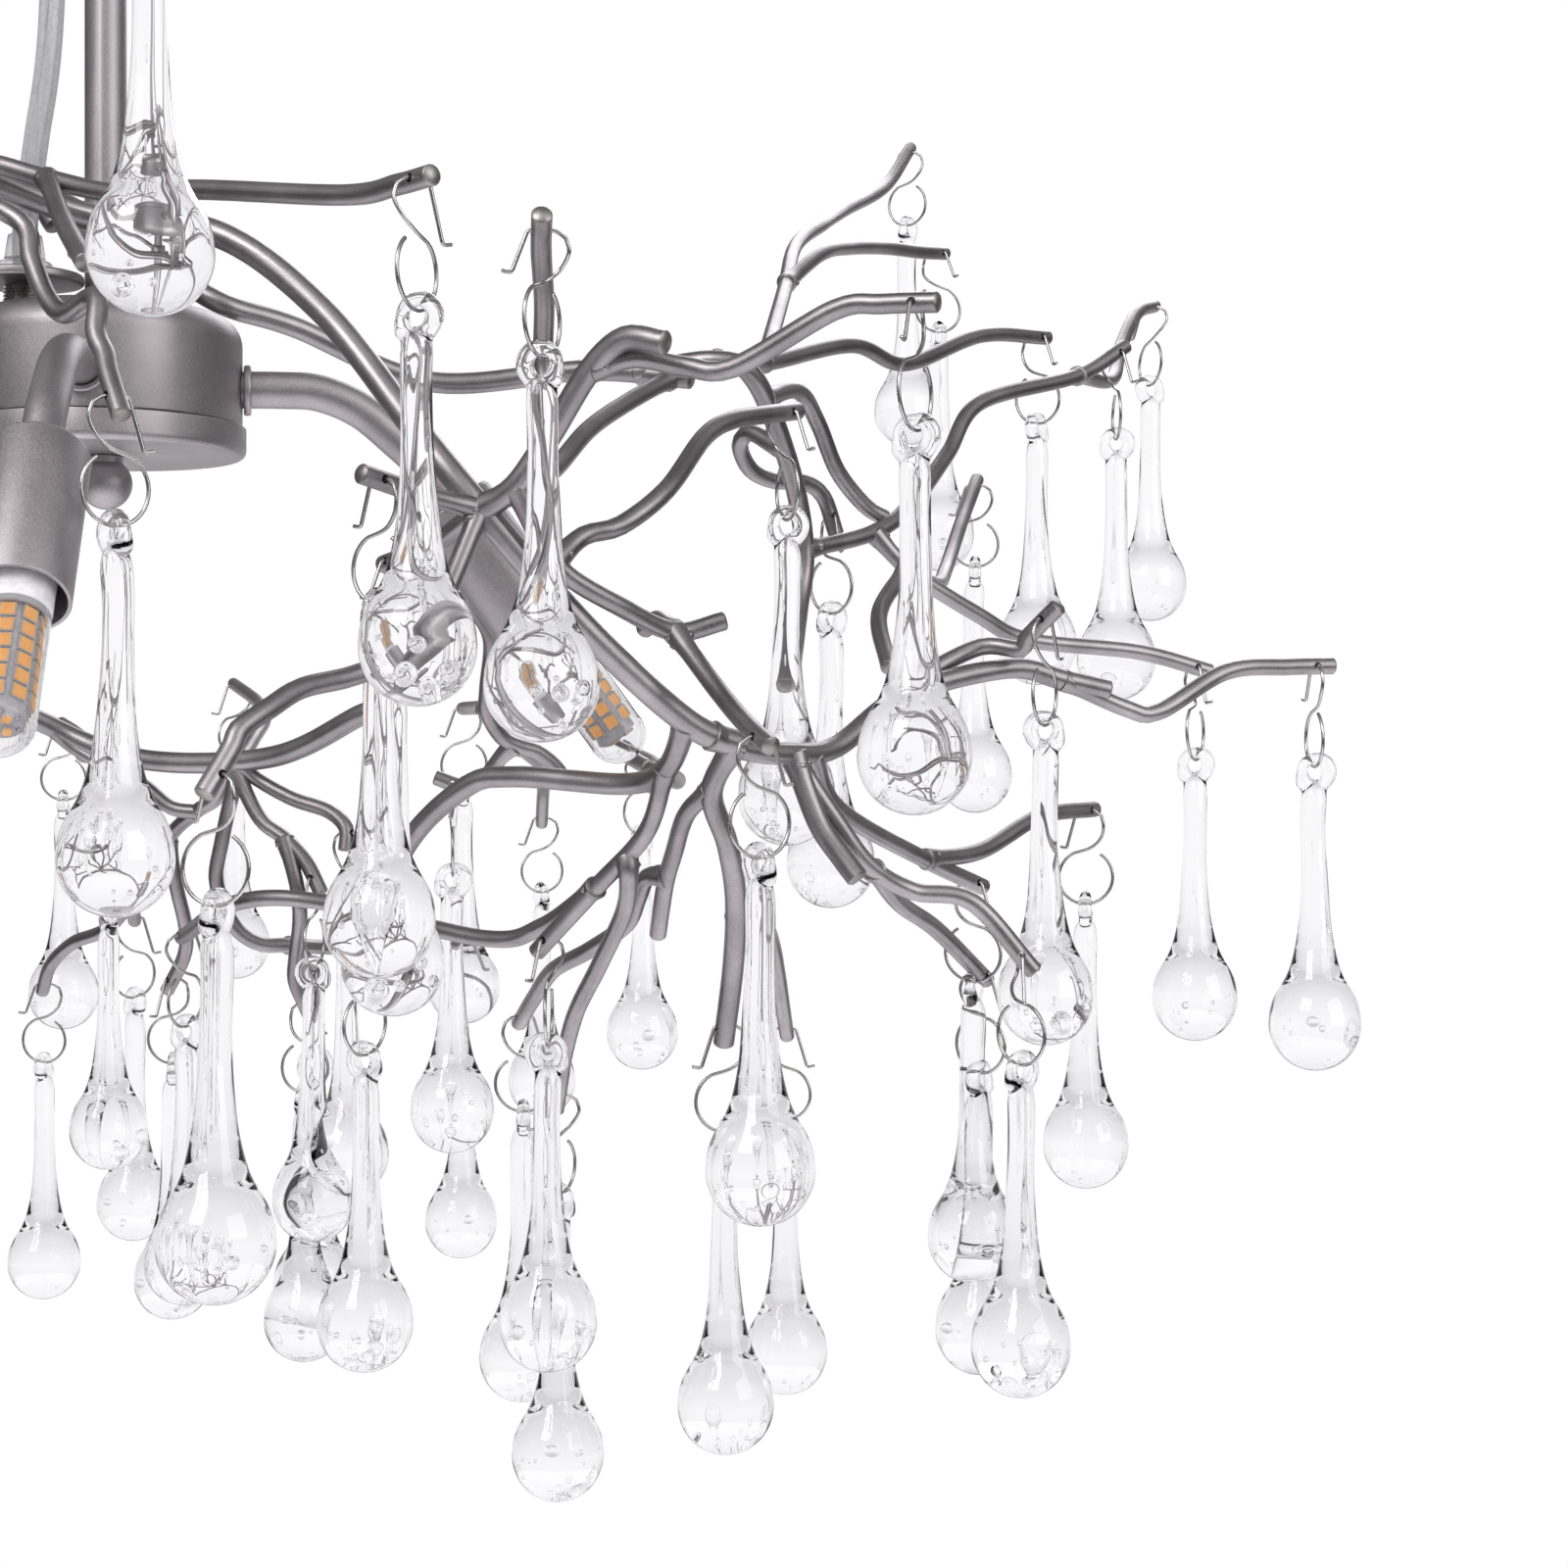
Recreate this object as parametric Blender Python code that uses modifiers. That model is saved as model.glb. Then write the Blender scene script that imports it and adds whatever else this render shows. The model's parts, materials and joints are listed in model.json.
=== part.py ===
"""Branch chandelier: ceiling fitting, rod, hub, three lamps, welded boughs and hanging glass drops.

Lengths below are in millimetres and are turned into metres by MM. Routes and heights are given from
the middle of the hub's underside, +Z up. The model's own origin is on the ceiling, HUB_DROP above it.
"""
import math

import bmesh
import bpy
from mathutils import Matrix, Vector

MM = 0.001
GAP = 0.3                        # clearance between pieces that touch on the real object

# Ceiling fitting
HUB_DROP = 340.0                 # ceiling to the underside of the hub
CANOPY_RADIUS = 56.0
CANOPY_DEPTH = 26.0
CANOPY_WALL, CANOPY_BEND = 1.2, 20.0
BRACKET_LENGTH, BRACKET_WIDTH, BRACKET_THICK = 92.0, 24.0, 3.0
BRACKET_SCREW_SPACING, BRACKET_SCREW_HOLE = 66.0, 2.4
BOSS_RADIUS, BOSS_LENGTH = 9.0, 15.0
PIN_RADIUS = 1.5

# Rod, collar and hub
ROD_RADIUS = 5.5
ROD_END = 12.0                   # height of the rod's lower end inside the hub
COLLAR_RADIUS, COLLAR_LOW, COLLAR_HIGH = 10.0, 53.0, 66.0
HUB_RADIUS, HUB_TOP, HUB_WALL, HUB_FILLET = 36.0, 38.0, 1.5, 8.0
LID_RADIUS, LID_HEIGHT = 37.0, 8.0
STUD_RADIUS = 3.0
FINIAL_RADIUS, FINIAL_CENTRE = 7.0, -7.4

# Mains cable and its gland on top of the hub
CABLE_RADIUS = 3.25
GLAND_X, GLAND_Y = -18.5, -11.0
NIPPLE_RADIUS = 4.8
DISC_RADIUS, DISC_THICK, DISC_LOW = 15.2, 2.6, 44.0
GLAND_HEIGHT = 10.0
CABLE_ROUTE = [(GLAND_X, GLAND_Y, 33.0), (GLAND_X, GLAND_Y, 46.0), (GLAND_X, GLAND_Y, 58.0), (-17.6, -11.1, 68.0),
               (-15.4, -11.4, 82.0), (-11.2, -12.0, 116.0), (-9.0, -13.6, 200.0), (-9.0, -14.0, 300.0),
               (-9.0, -14.0, 330.0)]

# Lamps
LAMP_AZIMUTHS = {"right": 11.0, "front": -85.0, "left": 143.0}
ARM_HEIGHT, ARM_RADIUS, ARM_BORE = 18.6, 5.0, 4.0
LAMP_TILT = math.radians(36.0)   # of the lamp's axis from the vertical, its foot outwards
SLEEVE_TOP_REACH, SLEEVE_TOP_HEIGHT = 92.0, -11.0
ARM_BEND = [(46.0, 18.9), (56.5, 18.4), (67.6, 14.0), (77.5, 6.0), (84.4, -0.4)]     # reach and height
ARM_FLANGE_RADIUS, ARM_FLANGE_THICK = 6.8, 2.0
SLEEVE_RADIUS, SLEEVE_LENGTH, SLEEVE_WALL = 12.0, 44.0, 1.0
SOCKET_RADIUS, SOCKET_LENGTH = 10.2, 20.0
BULB_RADIUS, BULB_LENGTH = 8.2, 62.0
BULB_PULL_SEAT = 24.0            # from the sleeve's top down to the bulb's shoulder

# Boughs
TRUNK, LIMB, TWIG = 3.5, 3.0, 2.5
HOLE_FROM_TIP, HOLE_RADIUS = 6.0, 0.95
ROD_STEP = 24.0                  # spacing of the rings along a bent rod
LEFT_TURN = math.radians(190.0)  # the left bough is the right one turned about the rod

# Hanging hooks and drops, measured from the hole in the twig
WIRE_RADIUS = 0.5
RING_RADIUS = 8.5
RING_CENTRE = -21.2
RING_TOP, RING_STEP, RING_POINTS = 112.0, 29.0, 13     # degrees: its first point and the steps, and how many
EYE_MAJOR, EYE_MINOR = 3.85, 1.6
BALL_RADIUS = 13.5
EYE_ABOVE_BALL = 75.0


def clear_scene():
    for old in list(bpy.data.objects):
        bpy.data.objects.remove(old, do_unlink=True)


def new_collection(name):
    collection = bpy.data.collections.new(name)
    bpy.context.scene.collection.children.link(collection)
    return collection


def make_material(name, colour, roughness, metallic=0.0, transmission=0.0):
    material = bpy.data.materials.new(name)
    material.use_nodes = True
    shader = material.node_tree.nodes["Principled BSDF"]
    shader.inputs["Base Color"].default_value = (*colour, 1.0)
    shader.inputs["Roughness"].default_value = roughness
    shader.inputs["Metallic"].default_value = metallic
    shader.inputs["Transmission Weight"].default_value = transmission
    return material


clear_scene()
CHANDELIER = new_collection("branch_chandelier")
CUTTERS = new_collection("cutters")
PEWTER = make_material("pewter_finish", (0.30, 0.27, 0.26), 0.38, 0.85)
DARK_METAL = make_material("dark_metal", (0.10, 0.09, 0.09), 0.4, 0.8)
STEEL = make_material("steel_wire", (0.45, 0.45, 0.46), 0.3, 1.0)
GLASS = make_material("clear_glass", (1.0, 1.0, 1.0), 0.02, 0.0, 1.0)
CLEAR_PLASTIC = make_material("clear_plastic", (0.9, 0.9, 0.9), 0.15, 0.0, 0.9)
CERAMIC = make_material("ceramic", (0.85, 0.84, 0.8), 0.5)
LAMP_GLASS = make_material("lamp_capsule", (0.95, 0.9, 0.8), 0.1, 0.0, 0.7)


def place(x, y, z):
    """A point given from the hub's underside, in the model's frame and in metres."""
    return Vector((x, y, z - HUB_DROP)) * MM


def shade_round(mesh, angle=40.0):
    mesh.shade_smooth()
    mesh.set_sharp_from_angle(angle=math.radians(angle))


def add_object(name, mesh, material, location=(0.0, 0.0, 0.0), collection=None):
    piece = bpy.data.objects.new(name, mesh)
    piece.location = location
    (collection or CHANDELIER).objects.link(piece)
    if material and not mesh.materials:
        mesh.materials.append(material)
    return piece


def evaluated_mesh(source, name, weld=0.0):
    bpy.context.view_layer.update()
    shape = source.evaluated_get(bpy.context.evaluated_depsgraph_get())
    mesh = bpy.data.meshes.new_from_object(shape)
    mesh.name = name
    if weld:
        bm = bmesh.new()
        bm.from_mesh(mesh)
        bmesh.ops.remove_doubles(bm, verts=bm.verts, dist=weld)
        bm.to_mesh(mesh)
        bm.free()
    return mesh


def bake(source):
    """Replace an object's mesh by what its modifiers make of it."""
    mesh = evaluated_mesh(source, source.name)
    source.modifiers.clear()
    source.data = mesh
    return source


def combine(target, tools, operation):
    """Boolean the tools with the target, one after another, and keep the result."""
    for tool in tools:
        modifier = target.modifiers.new(operation.title(), "BOOLEAN")
        modifier.operation = operation
        modifier.object = tool
    bake(target)
    for tool in tools:
        bpy.data.objects.remove(tool, do_unlink=True)
    return target


def turned(name, profile, steps, material, location=(0.0, 0.0, 0.0), closed=False, collection=None):
    """Turn a profile of (radius, height) about Z: it runs down the outer side, top to bottom."""
    mesh = bpy.data.meshes.new(name)
    edges = [(i, i + 1) for i in range(len(profile) - 1)]
    if closed:
        edges.append((len(profile) - 1, 0))
    mesh.from_pydata([(r * MM, 0.0, z * MM) for r, z in profile], edges, [])
    piece = add_object(name, mesh, material, location, collection)
    screw = piece.modifiers.new("Screw", "SCREW")
    screw.steps = steps
    screw.render_steps = steps
    screw.use_merge_vertices = True
    screw.merge_threshold = 1e-6
    bake(piece)
    shade_round(piece.data)
    return piece


def arc(centre_r, centre_z, radius, start, end, count):
    """Points (radius, height) along an arc of a turned profile, angles in degrees."""
    angles = [math.radians(start + (end - start) * i / count) for i in range(count + 1)]
    return [(centre_r + radius * math.cos(a), centre_z + radius * math.sin(a)) for a in angles]


def cylinder(name, radius, low, high, sides=16, material=None, collection=None):
    """A plain round bar along Z between two heights, both in millimetres."""
    mesh = bpy.data.meshes.new(name)
    bm = bmesh.new()
    middle = Matrix.Translation((0.0, 0.0, (low + high) / 2 * MM))
    bmesh.ops.create_cone(bm, cap_ends=True, segments=sides, radius1=radius * MM,
                          radius2=radius * MM, depth=(high - low) * MM, matrix=middle)
    bm.to_mesh(mesh)
    bm.free()
    shade_round(mesh)
    return add_object(name, mesh, material, collection=collection or CUTTERS)


def block(name, size, centre, material=None, collection=None):
    mesh = bpy.data.meshes.new(name)
    bm = bmesh.new()
    shape = Matrix.Translation(Vector(centre) * MM) @ Matrix.Diagonal((*(Vector(size) * MM), 1.0))
    bmesh.ops.create_cube(bm, size=1.0, matrix=shape)
    bm.to_mesh(mesh)
    bm.free()
    return add_object(name, mesh, material, collection=collection or CUTTERS)


def smooth_route(points, step):
    """A smooth curve through the points, as a list of points about a step apart."""
    points = [Vector(p) for p in points]
    ends = [2 * points[0] - points[1], *points, 2 * points[-1] - points[-2]]
    route = []
    for before, start, end, after in zip(ends, ends[1:], ends[2:], ends[3:]):
        count = max(1, round((end - start).length / step))
        for i in range(count):
            t = i / count
            route.append(0.5 * (2 * start + (end - before) * t
                                + (2 * before - 5 * start + 4 * end - after) * t ** 2
                                + (3 * start - before - 3 * end + after) * t ** 3))
    route.append(points[-1])
    return route


def wire(name, route, radius, material, resolution=1, collection=None):
    """A round bar along a route of points in metres, as a closed mesh."""
    curve = bpy.data.curves.new(name, "CURVE")
    curve.dimensions = "3D"
    curve.bevel_depth = radius * MM
    curve.bevel_resolution = resolution
    curve.use_fill_caps = True
    spline = curve.splines.new("POLY")
    spline.points.add(len(route) - 1)
    for point, where in zip(spline.points, route):
        point.co = (*where, 1.0)
    guide = bpy.data.objects.new(name + "_line", curve)
    CUTTERS.objects.link(guide)
    mesh = evaluated_mesh(guide, name, weld=1e-6)
    bpy.data.objects.remove(guide, do_unlink=True)
    shade_round(mesh, 60.0)
    return add_object(name, mesh, material, collection=collection)


# ---------------------------------------------------------------- ceiling fitting and rod

def make_ceiling_fitting():
    plate_middle = HUB_DROP - BRACKET_THICK / 2
    bracket = block("ceiling_bracket", (BRACKET_LENGTH, BRACKET_WIDTH, BRACKET_THICK),
                    (0.0, 0.0, plate_middle), PEWTER, CHANDELIER)
    boss_low = HUB_DROP - BRACKET_THICK - BOSS_LENGTH
    boss = cylinder("boss", BOSS_RADIUS, boss_low, HUB_DROP - 1.0, 20)
    combine(bracket, [boss], "UNION")
    bore = cylinder("bore", ROD_RADIUS + GAP, boss_low - 1.0, HUB_DROP - BRACKET_THICK, 20)
    pin_height = boss_low + BOSS_LENGTH / 2
    pin_hole = cylinder("pin_hole", PIN_RADIUS + GAP, -20.0, 20.0, 8)
    across = Matrix.Translation((0, 0, pin_height * MM)) @ Matrix.Rotation(math.pi / 2, 4, "X")
    pin_hole.matrix_world = across
    screws = []
    for side in (-1, 1):
        screw = cylinder("screw_hole", BRACKET_SCREW_HOLE, HUB_DROP - 6.0, HUB_DROP + 2.0, 12)
        screw.location.x = side * BRACKET_SCREW_SPACING / 2 * MM
        screws.append(screw)
    combine(bracket, [bore, pin_hole, *screws], "DIFFERENCE")

    top, low = HUB_DROP, HUB_DROP - CANOPY_DEPTH
    middle_r, middle_z = CANOPY_RADIUS - CANOPY_BEND, low + CANOPY_BEND
    outer = [(CANOPY_RADIUS, top), *arc(middle_r, middle_z, CANOPY_BEND, 0, -90, 4), (ROD_RADIUS + GAP, low)]
    inner_arc = arc(middle_r, middle_z, CANOPY_BEND - CANOPY_WALL, -90, 0, 4)
    inner = [(ROD_RADIUS + GAP, low + CANOPY_WALL), *inner_arc, (CANOPY_RADIUS - CANOPY_WALL, top)]
    canopy = turned("canopy", outer + inner, 20, PEWTER, closed=True)
    cable_hole = cylinder("cable_hole", CABLE_RADIUS + 2 * GAP, low - 4.0, low + 8.0, 12)
    cable_hole.location = Vector((*CABLE_ROUTE[-1][:2], 0.0)) * MM
    combine(canopy, [cable_hole], "DIFFERENCE")

    rod_top = HUB_DROP - BRACKET_THICK - GAP
    rod = cylinder("hanging_rod", ROD_RADIUS, ROD_END, rod_top, 16, PEWTER, CHANDELIER)
    rod_hole = cylinder("rod_hole", PIN_RADIUS + GAP, -20.0, 20.0, 8)
    rod_hole.matrix_world = across
    combine(rod, [rod_hole], "DIFFERENCE")
    pin = cylinder("rod_cross_pin", PIN_RADIUS, -BOSS_RADIUS, BOSS_RADIUS, 8, STEEL, CHANDELIER)
    pin.matrix_world = across

    bore_r = ROD_RADIUS + GAP
    collar = [(COLLAR_RADIUS, COLLAR_HIGH), (COLLAR_RADIUS, COLLAR_LOW), (bore_r, COLLAR_LOW), (bore_r, COLLAR_HIGH)]
    turned("bough_collar", collar, 20, PEWTER, closed=True)


# ---------------------------------------------------------------- hub

def make_hub():
    bore_r, inside = ROD_RADIUS + GAP, HUB_RADIUS - HUB_WALL
    fillet = HUB_RADIUS - HUB_FILLET
    outer_arc = arc(fillet, HUB_TOP - HUB_FILLET, HUB_FILLET, 90, 0, 3)
    outer = [(bore_r, HUB_TOP), *outer_arc, (HUB_RADIUS, LID_HEIGHT + GAP)]
    inner_arc = arc(fillet, HUB_TOP - HUB_FILLET, HUB_FILLET - HUB_WALL, 0, 90, 3)
    inner = [(inside, LID_HEIGHT + GAP), *inner_arc, (bore_r, HUB_TOP - HUB_WALL)]
    cup = turned("hub_cup", outer + inner, 24, PEWTER, closed=True)
    gland_hole = cylinder("gland_hole", NIPPLE_RADIUS + GAP, HUB_TOP - 6.0, HUB_TOP + 4.0, 12)
    gland_hole.location = Vector((GLAND_X, GLAND_Y, 0.0)) * MM
    holes = [gland_hole]
    for azimuth in LAMP_AZIMUTHS.values():
        hole = cylinder("arm_hole", ARM_RADIUS + GAP, HUB_RADIUS - 8.0, HUB_RADIUS + 8.0, 12)
        turn = Matrix.Rotation(math.radians(azimuth), 4, "Z") @ Matrix.Rotation(math.pi / 2, 4, "Y")
        hole.matrix_world = Matrix.Translation((0, 0, ARM_HEIGHT * MM)) @ turn
        holes.append(hole)
    combine(cup, holes, "DIFFERENCE")

    hole_r = STUD_RADIUS + GAP
    edge = arc(LID_RADIUS - 3.0, 3.0, 3.0, 0, -90, 2)
    lid = [(LID_RADIUS, LID_HEIGHT), *edge, (hole_r, 0.0), (hole_r, HUB_WALL), (inside, HUB_WALL),
           (inside, LID_HEIGHT)]
    turned("hub_lid", lid, 24, PEWTER, closed=True)

    ball = arc(0.0, FINIAL_CENTRE, FINIAL_RADIUS, 50, -90, 5)
    stud_top = ROD_END - GAP
    stem = [(0.0, stud_top), (STUD_RADIUS, stud_top), (STUD_RADIUS, -GAP), (4.6, -GAP)]
    turned("finial", stem + ball[:-1] + [(0.0, FINIAL_CENTRE - FINIAL_RADIUS)], 12, PEWTER)

    block("terminal_block", (26.0, 13.0, 11.0), (2.0, -19.0, HUB_WALL + GAP + 5.5), CERAMIC, CHANDELIER)


def make_gland_and_cable():
    bore_r = CABLE_RADIUS + GAP
    where = Vector((GLAND_X, GLAND_Y, 0.0)) * MM
    seat = HUB_TOP + GAP
    threads = [(NIPPLE_RADIUS + 0.9 * (i % 2), DISC_LOW - GAP - i * (DISC_LOW - GAP - seat) / 4) for i in range(5)]
    nipple = [*threads, (NIPPLE_RADIUS, HUB_TOP - 3.5), (bore_r, HUB_TOP - 3.5), (bore_r, DISC_LOW - GAP)]
    turned("gland_nipple", nipple, 12, STEEL, where, closed=True)
    high = DISC_LOW + DISC_THICK
    disc = [(DISC_RADIUS, high), (DISC_RADIUS, DISC_LOW), (bore_r, DISC_LOW), (bore_r, high)]
    turned("gland_disc", disc, 20, PEWTER, where, closed=True)
    foot = high + GAP
    top = foot + GLAND_HEIGHT
    dome = [(bore_r, top), (CABLE_RADIUS + 1.4, top), (CABLE_RADIUS + 1.9, foot + 4.6),
            (CABLE_RADIUS + 2.2, foot + 2.6), (7.2, foot + 1.6), (7.6, foot), (bore_r, foot)]
    turned("cable_gland", dome, 12, CLEAR_PLASTIC, where, closed=True)
    wire("supply_cable", [place(*p) for p in smooth_route(CABLE_ROUTE, 24.0)], CABLE_RADIUS, CLEAR_PLASTIC, 2)


# ---------------------------------------------------------------- lamps

def lamp_axis():
    """From a lamp sleeve's top: where it starts and its direction, in the plane of its arm."""
    start = Vector((SLEEVE_TOP_REACH, 0.0, SLEEVE_TOP_HEIGHT))
    direction = Vector((math.sin(LAMP_TILT), 0.0, -math.cos(LAMP_TILT)))
    return start, direction


def make_lamp(side, azimuth):
    turn = Matrix.Rotation(math.radians(azimuth), 4, "Z")
    start, direction = lamp_axis()
    along = Matrix.Translation(start * MM) @ Matrix.Rotation(-LAMP_TILT, 4, "Y")
    frame = turn @ along                     # its -Z runs down the lamp's axis

    inner_end = start + 3.0 * direction
    bend = [Vector((reach, 0.0, height)) for reach, height in ARM_BEND]
    route = smooth_route([(HUB_RADIUS - 4.0, 0.0, ARM_HEIGHT), *bend, inner_end - 9.0 * direction, inner_end], 12.0)
    arm = wire(f"lamp_arm_{side}", [turn @ (p * MM) for p in route], ARM_RADIUS, PEWTER, 2)
    longer = [route[0] - Vector((1.0, 0.0, 0.0)), *route[1:-1], route[-1] + direction]
    bore = wire("bore", [turn @ (p * MM) for p in longer], ARM_BORE, None, 1, CUTTERS)
    combine(arm, [bore], "DIFFERENCE")

    outer_r, inner_r = ARM_FLANGE_RADIUS, ARM_RADIUS + GAP
    ring = [(outer_r, ARM_FLANGE_THICK), (outer_r, 0.0), (inner_r, 0.0), (inner_r, ARM_FLANGE_THICK)]
    collar = turned(f"arm_collar_{side}", ring, 14, DARK_METAL, closed=True)
    upright = Matrix.Translation((0.0, 0.0, ARM_HEIGHT * MM)) @ turn
    outside = Matrix.Translation(((HUB_RADIUS + GAP) * MM, 0, 0)) @ Matrix.Rotation(math.pi / 2, 4, "Y")
    collar.matrix_world = upright @ outside

    hole_r, inside = ARM_RADIUS + GAP, SLEEVE_RADIUS - SLEEVE_WALL
    sleeve = [(hole_r, 0.0), (SLEEVE_RADIUS - 1.0, 0.0), (SLEEVE_RADIUS, -1.0), (SLEEVE_RADIUS, -SLEEVE_LENGTH),
              (inside, -SLEEVE_LENGTH), (inside, -1.6), (hole_r, -1.6)]
    turned(f"lamp_sleeve_{side}", sleeve, 20, PEWTER, closed=True).matrix_world = frame

    head = -4.0
    foot = head - SOCKET_LENGTH
    body = [(0.0, head), (SOCKET_RADIUS, head), (SOCKET_RADIUS, foot + 2.0), (SOCKET_RADIUS - 1.5, foot), (0.0, foot)]
    socket = turned(f"lamp_socket_{side}", body, 14, CERAMIC)
    slot = block("slot", (12.0, 3.4, 14.0), (0.0, 0.0, foot))
    combine(socket, [slot], "DIFFERENCE").matrix_world = frame

    shoulder = -BULB_PULL_SEAT - GAP
    tip = shoulder - BULB_LENGTH
    dome = arc(0.0, tip + BULB_RADIUS, BULB_RADIUS, 0, -90, 3)
    profile = [(0.0, shoulder), (7.0, shoulder), (BULB_RADIUS, shoulder - 2.0), *dome[:-1], (0.0, tip)]
    bulb = turned(f"led_bulb_{side}", profile, 12, LAMP_GLASS)
    blade = block("blade", (10.0, 2.2, 7.0), (0.0, 0.0, shoulder + 2.5))
    combine(bulb, [blade], "UNION")
    bulb.matrix_world = frame


# ---------------------------------------------------------------- boughs of welded rods

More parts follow.
